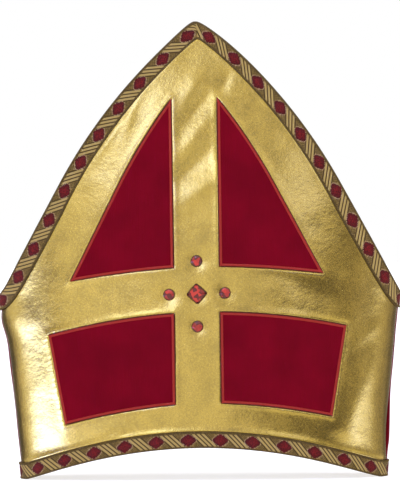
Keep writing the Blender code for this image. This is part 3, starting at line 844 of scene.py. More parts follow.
def stitch_tree():
    """Nodes that set thread arches across a path, spaced along it and standing off the cloth."""
    tree = bpy.data.node_groups.new(STITCH_TREE, "GeometryNodeTree")
    kinds = {
        "Geometry": ("Path",),
        "Float": ("Spacing", "Stitch length", "Thread width", "Stitch height", "Slant", "Unevenness"),
        "Int": ("Sides", "Seed"),
        "Material": ("Thread",),
    }
    for kind, names in kinds.items():
        for name in names:
            tree.interface.new_socket(name, in_out="INPUT", socket_type="NodeSocket" + kind)
    tree.interface.new_socket("Stitches", in_out="OUTPUT", socket_type="NodeSocketGeometry")

    def add(kind, inputs=None, **settings):
        node = tree.nodes.new(kind)
        for setting, value in settings.items():
            setattr(node, setting, value)
        for socket, value in (inputs or {}).items():
            if isinstance(value, bpy.types.NodeSocket):
                tree.links.new(value, node.inputs[socket])
            else:
                node.inputs[socket].default_value = value
        return node

    def first(kind, inputs=None, **settings):
        return add(kind, inputs, **settings).outputs[0]

    def reckon(operation, a, b):
        return first("ShaderNodeMath", {0: a, 1: b}, operation=operation)

    given = add("NodeGroupInput").outputs
    half = reckon("MULTIPLY", given["Stitch length"], 0.5)
    lead = reckon("MULTIPLY", given["Slant"], 0.5)
    lag, back = reckon("MULTIPLY", lead, -1.0), reckon("MULTIPLY", half, -1.0)
    bow = {
        "Resolution": BOW_STEPS,
        "Start": first("ShaderNodeCombineXYZ", {0: lag, 1: back}),
        "Middle": first("ShaderNodeCombineXYZ", {2: reckon("MULTIPLY", given["Stitch height"], 2.0)}),
        "End": first("ShaderNodeCombineXYZ", {0: lead, 1: half}),
    }
    marked = {
        "Geometry": first("GeometryNodeCurveQuadraticBezier", bow),
        "Name": ACROSS,
        "Value": add("GeometryNodeSplineParameter").outputs["Factor"],
    }
    marked = first("GeometryNodeStoreNamedAttribute", marked, data_type="FLOAT", domain="POINT")
    radius = reckon("MULTIPLY", given["Thread width"], 0.5)
    ring = first("GeometryNodeCurvePrimitiveCircle", {"Resolution": given["Sides"], "Radius": radius})
    thread = first("GeometryNodeCurveToMesh", {"Curve": marked, "Profile Curve": ring, "Fill Caps": True})

    path = {"Curve": first("GeometryNodeMeshToCurve", {0: given["Path"]}), "Length": given["Spacing"]}
    points = first("GeometryNodeResampleCurve", path, mode="LENGTH")
    out = first("GeometryNodeInputNamedAttribute", {"Name": OUTWARD}, data_type="FLOAT_VECTOR")
    ways = {"Primary Axis": out, "Secondary Axis": first("GeometryNodeInputTangent")}
    turned = first("FunctionNodeAxesToRotation", ways, primary_axis="Z", secondary_axis="X")
    least = reckon("SUBTRACT", 1.0, given["Unevenness"])
    most = reckon("ADD", 1.0, given["Unevenness"])
    chance = {2: least, 3: most, "Seed": given["Seed"]}
    varied = add("FunctionNodeRandomValue", chance, data_type="FLOAT").outputs[1]
    length = first("GeometryNodeInputNamedAttribute", {"Name": LENGTH}, data_type="FLOAT")
    size = first("ShaderNodeCombineXYZ", {0: 1.0, 1: reckon("MULTIPLY", varied, length), 2: varied})
    placed = {"Points": points, "Instance": thread, "Rotation": turned, "Scale": size}
    real = first("GeometryNodeRealizeInstances", {0: first("GeometryNodeInstanceOnPoints", placed)})
    smooth = first("GeometryNodeSetShadeSmooth", {"Geometry": real, "Shade Smooth": True})
    done = first("GeometryNodeSetMaterial", {"Geometry": smooth, "Material": given["Thread"]})
    add("NodeGroupOutput", {0: done})
    return tree


Path = namedtuple("Path", "points normals lengths closed")


def even_path(points, normals, closed=False):
    """A path whose stitches all have their full length."""
    return Path(points, normals, np.ones(len(points)), closed)


def stitched(name, paths, values, material):
    """A plain mesh of the stitches that the nodes set along some paths."""
    tree = bpy.data.node_groups.get(STITCH_TREE) or stitch_tree()
    mesh = bpy.data.meshes.new(name)
    edges, start = [], 0
    for path in paths:
        count = len(path.points)
        edges += [(start + i, start + i + 1) for i in range(count - 1)]
        edges += [(start + count - 1, start)] if path.closed else []
        start += count
    points = np.concatenate([path.points for path in paths])
    mesh.from_pydata([tuple(p) for p in points.tolist()], edges, [])
    normals = np.concatenate([path.normals for path in paths]).astype(np.float32)
    mesh.attributes.new(OUTWARD, "FLOAT_VECTOR", "POINT").data.foreach_set("vector", normals.ravel())
    lengths = np.concatenate([path.lengths for path in paths]).astype(np.float32)
    mesh.attributes.new(LENGTH, "FLOAT", "POINT").data.foreach_set("value", lengths)
    piece = bpy.data.objects.new(name, mesh)
    bpy.context.scene.collection.objects.link(piece)
    modifier = piece.modifiers.new("stitches", "NODES")
    modifier.node_group = tree
    sockets = {item.name: item.identifier for item in tree.interface.items_tree if item.in_out == "INPUT"}
    for label, value in {**values, "Thread": material}.items():
        modifier[sockets[label]] = value
    bpy.context.view_layer.update()
    graph = bpy.context.evaluated_depsgraph_get()
    plain = bpy.data.meshes.new_from_object(piece.evaluated_get(graph))
    piece.modifiers.clear()
    piece.data = plain
    plain.name = name
    return piece


# ---- the walls ---------------------------------------------------------------------------------------------


def arch_slope(side, turn):
    """Slope of the arch edge along the wall at a column, as if its peak weren't rounded."""
    top = top_height(turn)
    run = wall_point(side, turn + SLOPE_STEP, top) - wall_point(side, turn - SLOPE_STEP, top)
    level_share = np.abs(run[..., 0]) / np.hypot(run[..., 0], run[..., 1])
    x = np.hypot(half_width(top) * np.sin(turn), PEAK_ROUNDING_INSIDE)
    seen = np.arcsin((np.minimum(x, ARC_START_X) - ARC_CENTRE_X) / ARCH_RADIUS)
    return np.arctan(np.tan(seen) * level_share)


def below_edge(turn, top, slope, down):
    """Height on the wall at a distance in from the arch edge. Further in, the peak is sharper."""
    x = half_width(top) * np.sin(turn)
    sharper = arch_height(x, PEAK_ROUNDING_INSIDE) - arch_height(x)
    return top + sharper * np.maximum(0.0, down) / ARCH_RIBBON_WIDTH - down / np.cos(slope)


def roll(distance, reach=EDGE_ROLL_REACH):
    """A soft swelling that starts at a sewn edge and dies out."""
    share = np.maximum(0.0, distance) / reach
    return share * np.exp(1 - share)


def seam_dip(side, turn, z):
    """The wall turns in to the side seam."""
    middle, span = middle_and_span(side)
    near = (span - np.abs(turn - middle)) * half_depth(z)
    return -SEAM_ROLL * np.exp(-near / SEAM_ROLL_REACH)


def sewn_lift(distance, wobble):
    """The gold cloth beside a sewn edge: it swells, and puckers at the stitches."""
    return EDGE_ROLL * roll(distance) + PUCKER * wobble * np.exp(-np.maximum(0, distance) / PUCKER_REACH)


def lame_form(turn, z):
    """Fine form of the gold cloth, and the distance of its places from the nearest sewn edge."""
    x = half_width(z) * np.sin(turn) - sway(z)
    places = np.stack((x, np.zeros(x.shape), z), axis=-1)
    top, slope = top_height(turn), arch_slope(FRONT, turn)
    from_arch = (below_edge(turn, top, slope, ARCH_RIBBON_WIDTH) - z) * np.cos(slope)
    from_rim = z - rim_height(turn) - RIM_RIBBON_WIDTH
    free = np.minimum(from_arch, from_rim)
    pucker_noise = rolling_noise(places, PUCKER_LENGTH, PUCKER_SEED)
    wave = waved(places, *LAME_WAVES) + folds_at(LAME_FOLDS, x, z)
    lift = RIBBON_BED * np.exp(-free / RIBBON_BED_REACH) + wave * smooth_step(free / WAVE_FADE)
    lift = lift + sewn_lift(from_rim, pucker_noise) + ARCH_EDGE_SHARE * sewn_lift(from_arch, pucker_noise)
    inside = np.zeros(x.shape, bool)
    rolled = from_rim
    for edges in FIELDS.values():
        near, along = near_outline(x, z, outline_of(edges))
        wobble = np.sin(2 * math.pi * along / PUCKER_LENGTH + 3 * pucker_noise)
        lift = lift + FIELD_EDGE_SHARE * sewn_lift(near, wobble) * (near > 0)
        inside = inside | (near < UNDER_EDGE)
        rolled = np.minimum(rolled, near)
    for place in STONES.values():
        apart = np.hypot(x - place[0], z - place[1])
        lift = lift - DIMPLE * np.exp(-((apart / DIMPLE_REACH) ** 2))
    lift = np.where(inside, -PRESSED, lift)
    return np.where(free < -PRESSED, 0.0, lift) + seam_dip(FRONT, turn, z), np.maximum(0.0, rolled)


def back_form(turn, z):
    """Fine form of the velvet back, in slow waves, and its distance from the ribbons."""
    x = half_width(z) * np.sin(turn)
    places = np.stack((x, np.ones(x.shape), z), axis=-1)
    top, slope = top_height(turn), arch_slope(BACK, turn)
    from_arch = (below_edge(turn, top, slope, ARCH_RIBBON_WIDTH) - z) * np.cos(slope)
    free = np.minimum(from_arch, z - rim_height(turn) - RIM_RIBBON_WIDTH)
    return waved(places, BACK_WAVE) + seam_dip(BACK, turn, z), free


def row_heights(side, turns, rows, close_rows):
    """Heights of a wall's rows from just above the rim to just below the arch, closer beside the ribbons."""
    top, slope = top_height(turns), arch_slope(side, turns)
    rim = rim_height(turns)
    hem = rim + RIM_RIBBON_WIDTH
    foot = below_edge(turns, top, slope, ARCH_RIBBON_WIDTH)
    close = CLOSE_REACH / np.cos(slope)
    low, high = rim + WALL_UNDER_RIBBON, top - WALL_UNDER_RIBBON / np.cos(slope)
    marks = np.stack((low, hem, hem + CLOSE_REACH, foot - close, foot, high))
    last_close = rows - HIDDEN_ROWS
    stops = (0, HIDDEN_ROWS, HIDDEN_ROWS + close_rows, last_close - close_rows, last_close, rows)
    place = np.interp(np.arange(rows + 1), stops, np.arange(len(stops)))
    under = np.minimum(place.astype(int), len(stops) - 2)
    share = (place - under)[:, None]
    return marks[under] * (1 - share) + marks[under + 1] * share


def wall_piece(name, side, columns, rows, close_rows, form, outside, inside):
    """One wall as a closed, padded cloth, which knows how far each point is from the nearest sewn edge."""
    turns = column_turns(side, columns)
    heights = row_heights(side, turns, rows, close_rows)
    turns = np.broadcast_to(turns[None, :], heights.shape)
    lift, free = form(turns, heights)
    outer = wall_point(side, turns, heights, lift)
    inner = wall_point(side, turns[::INNER_STEP], heights[::INNER_STEP], -WALL)
    points, groups = closed_sheet(outer, inner, INNER_STEP)
    indices = [0] * len(groups[0]) + [1] * len(groups[1]) + [0] * len(groups[2])
    piece = new_piece(name, points, [face for group in groups for face in group], (outside, inside), indices)
    within = np.full(len(points) - free.size, FAR_FROM_SEAM)
    give_values(piece, SEWN, np.concatenate((free.ravel() / MM, within)))
    return piece


# ---- velvet fields -----------------------------------------------------------------------------------------

VELVET_GAP = 0.0003
VELVET_THICKNESS = 0.0010
VELVET_STEPS = 70
BORDER_FOOT = 0.0003
BORDER_PATH_STEP = 0.0006
BORDER_UNEVENNESS = 0.05
BORDER_SIDES = 5
VELVET_INSET = 0.45 * BORDER_WIDTH  # from the border's outer side to the velvet's edge
CROWN_REACH = 0.0018  # from the velvet's edge to where the pile has its full height,
EDGE_FULLNESS = 0.35  # and the share of it that the edge has
FLAT_TABLE = 800
MERGE_DISTANCE = 0.00001
SMALLEST_EDGE = 0.000005
CORNER_TURN = math.radians(25)
TIP_SHARE = 0.92
TIP_POINTS = 12


def field_grid(edges, steps):
    """Places of a field, row by row from its foot to its head, which all edges bound."""
    foot, outer, head, inner = edges
    t = np.linspace(0, 1, steps + 1)[:, None, None]
    s = np.linspace(0, 1, steps + 1)[None, :, None]

    def at(edge, share):
        place = share * (len(edge) - 1)
        index = np.arange(len(edge))
        return np.stack((np.interp(place, index, edge[:, 0]), np.interp(place, index, edge[:, 1])), axis=-1)

    left = at(inner[::-1], t[:, 0, 0])[:, None, :]
    right = at(outer, t[:, 0, 0])[:, None, :]
    bottom = at(foot, s[0, :, 0])[None, :, :]
    top = at(head[::-1], s[0, :, 0])[None, :, :]
    feet = (1 - s) * (1 - t) * foot[0] + s * (1 - t) * foot[-1]
    corners = feet + s * t * outer[-1] + (1 - s) * t * inner[0]
    return (1 - s) * left + s * right + (1 - t) * bottom + t * top - corners


def shrunk_edges(edges, distance):
    """The four edges of a field, moved inwards together."""
    moved = shrunk(outline_of(edges), distance)
    result, first = [], 0
    for edge in edges:
        count = len(edge) - 1
        result.append(moved[np.arange(first, first + count + 1) % len(moved)])
        first += count
    return result


def velvet_piece(name, edges, material):
    """A velvet field: a soft cloth whose edge dips under its satin border."""
    inset = shrunk_edges(edges, VELVET_INSET)
    grid = field_grid(inset, VELVET_STEPS)
    x, z = grid[..., 0], grid[..., 1]
    turns = turn_of(x, z)
    near = np.abs(near_outline(x, z, outline_of(inset))[0])
    crown = EDGE_FULLNESS + (1 - EDGE_FULLNESS) * smooth_step(near / CROWN_REACH)
    places = np.stack((x, np.zeros(x.shape), z), axis=-1)
    wave = waved(places, FIELD_WAVE) * smooth_step(near / FIELD_WAVE_FADE)
    outer = wall_point(FRONT, turns, z, VELVET_GAP + VELVET_THICKNESS * crown + wave)
    inner = wall_point(FRONT, turns, z, VELVET_GAP / 2)
    points, groups = closed_sheet(outer, inner)
    piece = new_piece(name, points, [face for group in groups for face in group], (material,))
    clean = bmesh.new()
    clean.from_mesh(piece.data)
    bmesh.ops.remove_doubles(clean, verts=clean.verts, dist=MERGE_DISTANCE)
    bmesh.ops.dissolve_degenerate(clean, dist=SMALLEST_EDGE, edges=clean.edges)
    clean.to_mesh(piece.data)
    clean.free()
    return piece


def corners_of(outline):
    """The points at which an outline turns a corner."""
    ahead = np.roll(outline, -1, axis=0) - outline
    behind = outline - np.roll(outline, 1, axis=0)
    cosine = (ahead * behind).sum(axis=1) / np.linalg.norm(ahead, axis=1) / np.linalg.norm(behind, axis=1)
    return np.nonzero(cosine < math.cos(CORNER_TURN))[0]


def border_path(places, lengths, closed):
    """A path of stitches for places of the front wall seen from the front."""
    turns = turn_of(places[:, 0], places[:, 1])
    points = wall_point(FRONT, turns, places[:, 1], VELVET_GAP + BORDER_FOOT)
    return Path(points, outward(turns, places[:, 1]), lengths, closed)


def tip_path(inner, outer):
    """Stitches that fill a corner of a border, ever shorter towards its tip."""
    share = np.linspace(0.0, TIP_SHARE, TIP_POINTS)[:, None]
    return border_path(inner + (outer - inner) * share, 1 - share[:, 0], False)


def flat_size(edges):
    """Width and height of the cut of a field, and its area, measured on the wall."""
    outline = outline_of(edges)
    turns = turn_of(outline[:, 0], outline[:, 1])
    table = np.linspace(-SEAM_TURN, SEAM_TURN, FLAT_TABLE)
    line = wall_point(FRONT, table, np.full(table.shape, SHOULDER_HEIGHT))
    along = lengths_along(line)
    x, z = np.interp(turns, table, along), outline[:, 1]
    area = 0.5 * abs(float(np.dot(x, np.roll(z, -1)) - np.dot(z, np.roll(x, -1))))
    return float(x.max() - x.min()), float(z.max() - z.min()), area


# ---- ribbons -----------------------------------------------------------------------------------------------


def weave_relief(along, across):
    """Height of the ribbon's weave, from places counted in threads: bars stand up between sunk lines."""
    slant = np.mod(along - across, REPEAT_THREADS)
    sunk = np.zeros(slant.shape)
    for middle in DARK_LINES:
        sunk = np.maximum(sunk, np.exp(-(((slant - middle) / DARK_LINE_HALF) ** 2)))
    away = np.abs(np.mod(along + REPEAT_THREADS / 2, REPEAT_THREADS) - REPEAT_THREADS / 2)
    share = (away / DIAMOND_HALF_LENGTH) ** DIAMOND_FULLNESS
    share = share + (np.abs(across) / DIAMOND_HALF_HEIGHT) ** DIAMOND_FULLNESS
    outline = np.exp(-(((share - OUTLINE_PLACE) / OUTLINE_SPREAD) ** 2))
    to_selvedge = RIBBON_THREADS / 2 - SELVEDGE_THREADS - np.abs(across)
    plain = smooth_step((share - BARS_FROM) / BARS_FADE) * smooth_step(to_selvedge / SELVEDGE_FADE)
    ribs = np.sin(2 * math.pi * along) * np.sin(math.pi * across)
    return (OUTLINE_RELIEF * outline + plain * (BAR_RELIEF - LINE_DEPTH * sunk) + RIB_RELIEF * ribs) * MM


def weave_places(along, across):
    """Places in threads as shares of the pattern's repeat and of the ribbon's width."""
    return np.stack((along / REPEAT_THREADS, across / RIBBON_THREADS + 0.5), axis=-1)


def ribbon_materials(colours):
    """The materials of the weave, the diamonds and the edge threads, made when they are first wanted."""
    makers = {
        "woven galloon": galloon_material,
        "diamond silk": silk_material,
        "selvedge thread": selvedge_material,
    }
    return [bpy.data.materials.get(name) or make(colours) for name, make in makers.items()]


class ArchRibbon:
    """Places on one half of an arch's ribbon, from the peak to a side seam."""

    def __init__(self, side, half):
        self.side, self.half = side, half
        self.middle, span = middle_and_span(side)
        t = np.linspace(0, 1, RIBBON_TABLE)
        self.turns = span * evened(t)
        turn = self.middle + half * self.turns
        self.tops = top_height(turn)
        self.gone = lengths_along(wall_point(side, turn, self.tops))
        self.slopes = arch_slope(side, turn)

    def column(self, gone):
        """Turn, top height and slope of the column that meets the arch edge that far from the peak."""
        turn = self.middle + self.half * np.interp(gone, self.gone, self.turns)
        return turn, np.interp(gone, self.gone, self.tops), np.interp(gone, self.gone, self.slopes)

    def along(self, gone, down, slope):
        """How far along the ribbon a point of a column lies, for its distance in from the arch edge."""
        return self.half * (gone + down * np.tan(slope))

    def point(self, along, down, lift):
        """Point of the wall for a place along the ribbon and in from the arch edge."""
        gone = np.abs(along)
        for _ in range(POINT_TRIES):
            gone = np.maximum(0.0, self.half * along - down * np.tan(np.interp(gone, self.gone, self.slopes)))
        turn, top, slope = self.column(gone)
        return wall_point(self.side, turn, below_edge(turn, top, slope, down), lift + self.proud(gone))

    def proud(self, gone):
        """How far the end of the front ribbon's left half stands off the wall."""
        if self.side == BACK or self.half > 0:
            return np.zeros(np.shape(gone))
        return END_PROUD * smooth_step(1 - (self.gone[-1] - gone) / END_PROUD_REACH)

    def threads(self, along, down):
        """Places in threads, for places along the ribbon and in from the arch edge."""
        across = (down + RIBBON_TURN_OVER) / (ARCH_RIBBON_WIDTH + RIBBON_TURN_OVER)
        across = (across - 0.5) * RIBBON_THREADS
        first, repeat, shear = PATTERNS[self.half]
        return (along - self.half * first) / repeat * REPEAT_THREADS - shear * across, across


def wrap_profile():
    """Cross-section of an arch ribbon, from the inside over the arch's edge to the foot of its face.

    The columns are how far out from the arch edge and off the wall a row lies, how far it goes outwards with
    the ribbon's depth, and how far up.
    """
    inside = [(-RIBBON_INSIDE * (1 - t), -WALL, -1, 0) for t in np.linspace(0, 1, INSIDE_ROWS + 1)[:-1]]
    over = [
        (RIBBON_CREST * math.sin(t), -WALL / 2 - WALL / 2 * math.cos(t), -math.cos(t), math.sin(t))
        for t in np.linspace(0, math.pi, WRAP_ROWS)
    ]
    face = [(-ARCH_RIBBON_WIDTH * t, 0.0, 1, 0) for t in np.linspace(0, 1, RIBBON_ROWS + 1)[1:]]
    return np.array(inside + over + face)


def arch_ribbon(name, side, material):
    """The ribbon of one arch: two halves that meet in a mitred fold, the right one over the left."""
    rise_of, off, out, up = wrap_profile().T[:, :, None]
    all_points, all_faces, all_uv = [], [], []
    start = 0
    for half in (-1, 1):
        ribbon = ArchRibbon(side, half)
        columns = int(ribbon.gone[-1] / RIBBON_STEP)
        gone = np.linspace(0, ribbon.gone[-1], columns + 1)[None, :]
        turn, top, slope = ribbon.column(gone)
        grids = []
        for depth in (RIBBON_GAP + RIBBON_THICKNESS, RIBBON_GAP):
            rise = rise_of + up * (depth - RIBBON_GAP) * CREST_GROWTH
            down = np.broadcast_to(-rise, (len(rise), columns + 1))
            along = ribbon.along(gone, down, slope)
            lift = off + out * depth + ribbon.proud(gone) * (out > 0)
            if half > 0:
                lift = lift + FOLD_OVERLAP_LIFT * np.exp(-np.abs(along) / FOLD_OVERLAP_REACH) * (out > 0)
            if depth > RIBBON_GAP:
                threads = ribbon.threads(along, down)
                lift = lift + weave_relief(*threads) * (out > RELIEF_FACING)
                uv = weave_places(*threads)
                all_uv += [(uv[::-1] if half > 0 else uv[::-1, ::-1]).reshape(-1, 2)] * 2
            grid = wall_point(side, turn, below_edge(turn, top, slope, -rise), lift)
            grids.append(grid[::-1] if half > 0 else grid[::-1, ::-1])
        points, groups = closed_sheet(*grids)
        all_points.append(points)
        all_faces += [[start + i for i in face] for group in groups for face in group]
        start += len(points)
    piece = new_piece(name, np.concatenate(all_points), all_faces, (material,), sharp_angle=50)
    give_uv(piece, WEAVE, np.concatenate(all_uv))
    return piece


class RimRibbon:
    """Places on the ribbon round the rim, counted from the front's middle towards the right."""

    def __init__(self):
        turns, points = [], []
        for side in (FRONT, BACK):
            t = column_turns(side, RIM_TABLE)
            turns.append(t)
            points.append(wall_point(side, t, rim_height(t) + RIM_RIBBON_WIDTH / 2))
        self.turns = np.concatenate(turns)
        line = np.concatenate(points)
        gone = lengths_along(line)
        self.length = gone[-1] + np.linalg.norm(line[0] - line[-1])
        self.gone = gone - np.interp(0.0, turns[0], gone[: len(turns[0])])
        self.repeat = self.length / RIM_REPEATS

    def point(self, along, up, lift):
        """Point of the wall for a place along the ribbon and up from the rim."""
        wrapped = np.mod(along - self.gone[0], self.length) + self.gone[0]
        turn = np.interp(wrapped, self.gone, self.turns)
        front, back = (wall_point(side, turn, rim_height(turn) + up, lift) for side in (FRONT, BACK))
        return np.where((turn <= SEAM_TURN + TURN_MARGIN)[..., None], front, back)

    def threads(self, along, up):
        across = 0.5 - up / RIM_RIBBON_WIDTH
        return (along - RIM_FIRST_DIAMOND) / self.repeat * REPEAT_THREADS, across * RIBBON_THREADS


def rim_ribbon(name, material):
    """The ribbon round the rim: one closed band."""
    ribbon = RimRibbon()
    columns = int(ribbon.length / RIBBON_STEP)
    along = (np.arange(columns) * ribbon.length / columns + ribbon.gone[0])[None, :]
    up = np.linspace(RIM_RIBBON_FOOT, RIM_RIBBON_WIDTH, RIBBON_ROWS + 1)[:, None]
    along, up = np.broadcast_arrays(along, up)
    threads = ribbon.threads(along, up)
    outer = ribbon.point(along, up, RIBBON_GAP + RIBBON_THICKNESS + weave_relief(*threads))
    inner = ribbon.point(along, up, RIBBON_GAP)
    rows = RIBBON_ROWS + 1
    total = rows * columns
    faces = []
    for r in range(rows - 1):
        for c in range(columns):
            d = (c + 1) % columns
            low, high = r * columns, (r + 1) * columns
            faces.append((low + c, low + d, high + d, high + c))
            faces.append((total + high + c, total + high + d, total + low + d, total + low + c))
    for c in range(columns):
        d = (c + 1) % columns
        last = (rows - 1) * columns
        faces.append((d, c, total + c, total + d))
        faces.append((last + c, last + d, total + last + d, total + last + c))
    points = np.concatenate((outer.reshape(-1, 3), inner.reshape(-1, 3)))
    piece = new_piece(name, points, faces, (material,), sharp_angle=50)
    give_uv(piece, WEAVE, np.tile(weave_places(*threads).reshape(-1, 2), (2, 1)))
    return piece


# A silk float: places along it, from end to end, with its fullness there, and its outline across, in threads
# and shares of its height.
FLOAT_STATIONS = ((-1.0, 0.10), (-0.86, 0.72), (-0.3, 1.0), (0.3, 1.0), (0.86, 0.72), (1.0, 0.10))
FLOAT_RING = ((-0.50, 0.0), (-0.38, 0.62), (0.0, 0.95), (0.38, 0.62), (0.50, 0.0))
FLOAT_HEIGHT = 0.00042
FLOAT_ROWS = 6  # on each side of a diamond's middle
HEART_REACH = 8.0  # threads from a diamond's middle to where its brighter heart ends
SELVEDGE_STITCH = 0.0013
SELVEDGE_HEIGHT = 0.0002
SELVEDGE_SLANT = 0.0006
SELVEDGE_UNEVENNESS = 0.08
SELVEDGE_SIDES = 4
SELVEDGE_STATIONS = 500
SELVEDGE_INSET = 0.0006  # from a ribbon's edge to the middle of its edge threads
RIM_SELVEDGE_INSET = 0.0008  # the same at the rim
LAST_DIAMOND_REACH = 0.004  # a diamond's middle may lie this far past an arch ribbon's end


def diamond_floats():
    """One diamond as silk floats side by side: places in threads and height, faces, and heart shares."""
    points, faces, hearts = [], [], []
    for row in range(-FLOAT_ROWS, FLOAT_ROWS):
        across = row + 0.5
        share = 1 - (abs(across) / DIAMOND_HALF_HEIGHT) ** DIAMOND_FULLNESS
        if share <= 0:
            continue
        reach = math.floor(DIAMOND_HALF_LENGTH * share ** (1 / DIAMOND_FULLNESS)) + 0.5
        start = len(points)
        for station, fullness in FLOAT_STATIONS:
            for aside, height in FLOAT_RING:
                points.append((station * reach, across + aside, height * fullness * FLOAT_HEIGHT))
                fade = abs(station * reach) / HEART_REACH + abs(across) / HEART_REACH
                hearts.append(max(0.0, 1 - fade))
        ring = len(FLOAT_RING)
        for i in range(len(FLOAT_STATIONS) - 1):
            for k in range(ring):
                a, b = start + i * ring + k, start + i * ring + (k + 1) % ring
                faces.append((a, b, b + ring, a + ring))
        faces.append(tuple(start + k for k in reversed(range(ring))))
        faces.append(tuple(start + (len(FLOAT_STATIONS) - 1) * ring + k for k in range(ring)))
    return np.array(points), faces, np.array(hearts)


def diamonds_piece(name, centres, to_wall, material):
    """All the diamonds of a ribbon, laid on it by the function that takes threads to the wall."""
    floats, faces, hearts = diamond_floats()
    points = np.concatenate([to_wall(centre, floats) for centre in centres])
    all_faces = [[i * len(floats) + k for k in face] for i in range(len(centres)) for face in faces]
    piece = new_piece(name, points, all_faces, (material,), sharp_angle=60)
    give_values(piece, HEART, np.tile(hearts, len(centres)))
    return settle(piece, slot="galloon")


def selvedge_piece(name, path, slant, sizes, material):
    """The twisted threads along one edge of a ribbon."""
    values = {
        "Spacing": sizes.selvedge_spacing,
        "Stitch length": SELVEDGE_STITCH,
        "Thread width": sizes.selvedge_thread,
        "Stitch height": SELVEDGE_HEIGHT,
        "Slant": slant,
        "Unevenness": SELVEDGE_UNEVENNESS,
        "Sides": SELVEDGE_SIDES,
        "Seed": sizes.seed,
    }
    return settle(stitched(name, [path], values, material), slot="galloon")


def arch_edge_path(side, halves, down):
    """A path along an arch ribbon, that far in from the arch edge, from its left end to its right one."""
    gone = np.linspace(0, halves[1].gone[-1], SELVEDGE_STATIONS)
    points, normals = [], []
    for half, ribbon in halves.items():
        turn, top, slope = ribbon.column(gone)
        z = below_edge(turn, top, slope, down)
        line = wall_point(side, turn, z, RIBBON_GAP + RIBBON_THICKNESS + ribbon.proud(gone))
        facing = outward(turn, z)
        points.append(line[::-1] if half < 0 else line[1:])
        normals.append(facing[::-1] if half < 0 else facing[1:])
    return even_path(np.concatenate(points), np.concatenate(normals))


# ---- stones ------------------------------------------------------------------------------------------------

# Rings of a stone's corners, from its back to its top, as shares of its size and height.
RoundRing = namedtuple("RoundRing", "sides phase size height")
SquareRing = namedtuple("SquareRing", "size height")
ROUND_RINGS = (
    RoundRing(sides=24, phase=0.5, size=0.93, height=0.0),
    RoundRing(sides=24, phase=0.5, size=1.0, height=0.24),
    RoundRing(sides=24, phase=0.5, size=0.99, height=0.36),
    RoundRing(sides=8, phase=0.0, size=0.82, height=0.72),
    RoundRing(sides=8, phase=0.5, size=0.54, height=1.0),
)
SQUARE_RINGS = (
    SquareRing(size=0.94, height=0.0),
    SquareRing(size=1.0, height=0.22),
    SquareRing(size=0.98, height=0.32),
    SquareRing(size=0.78, height=0.76),
    SquareRing(size=0.50, height=1.0),
)
STONE_LIFT = -0.0002  # the stones' backs lie a little inside the cloth
STONE_EDGE = 0.00007  # width of the broken edges between the facets
SAME_FACET = math.radians(1)
SQUARE_STONE_TURN = math.radians(45 + 4)


def cut_stone(name, points, x, z, material):
    """A faceted stone, the hull of its points, that lies flat on the front wall with finely broken edges."""
    stone = bmesh.new()
    for point in points:
        stone.verts.new(point)
    hull = bmesh.ops.convex_hull(stone, input=stone.verts)
    unused = [v for v in hull["geom_interior"] + hull["geom_unused"] if isinstance(v, bmesh.types.BMVert)]
    bmesh.ops.delete(stone, geom=unused, context="VERTS")
    bmesh.ops.dissolve_limit(stone, angle_limit=SAME_FACET, verts=stone.verts, edges=stone.edges)
    bmesh.ops.bevel(stone, geom=stone.edges, offset=STONE_EDGE, segments=1, affect="EDGES", profile=0.5)
    height = stone.verts.layers.float.new(CUT_HEIGHT)
    top = max(point.co.z for point in stone.verts)
    for point in stone.verts:
        point[height] = point.co.z / top
    turn = float(turn_of(x, z))
    seat = Vector(wall_point(FRONT, turn, z, STONE_LIFT))
    facing = Vector(outward(turn, z)).to_track_quat("Z", "Y").to_matrix().to_4x4()
    bmesh.ops.transform(stone, matrix=Matrix.Translation(seat) @ facing, verts=stone.verts)
    bmesh.ops.recalc_face_normals(stone, faces=stone.faces)
    mesh = bpy.data.meshes.new(name)
    stone.to_mesh(mesh)
    stone.free()
    mesh.materials.append(material)
    piece = bpy.data.objects.new(name, mesh)
    bpy.context.scene.collection.objects.link(piece)
    return piece


def round_stone_points():
    points = []
    for ring in ROUND_RINGS:
        radius, height = ROUND_STONE_RADIUS * ring.size, ROUND_STONE_HEIGHT * ring.height
        for i in range(ring.sides):
            turn = 2 * math.pi * (i + ring.phase) / ring.sides
            points.append((radius * math.cos(turn), radius * math.sin(turn), height))
    return points


def square_stone_points():
    """A square stone with cut corners, standing on one of them."""
    points = []
    for ring in SQUARE_RINGS:
        half = SQUARE_STONE_HALF_SIDE * ring.size
        short = half - SQUARE_STONE_CORNER * ring.size
        for a, b in ((half, short), (short, half)):
            for sign_a in (-1, 1):
                for sign_b in (-1, 1):
                    corner = Vector((a * sign_a, b * sign_b, SQUARE_STONE_HEIGHT * ring.height))
                    points.append(Matrix.Rotation(SQUARE_STONE_TURN, 3, "Z") @ corner)
    return points


# ---- the studio --------------------------------------------------------------------------------------------

SOFTBOX_HEIGHT = 2.2
SOFTBOX_SIDE = 1.6
SOFTBOX_LEVEL = 0.4
Lobe = namedtuple("Lobe", "azimuth elevation reach_across reach_up level")
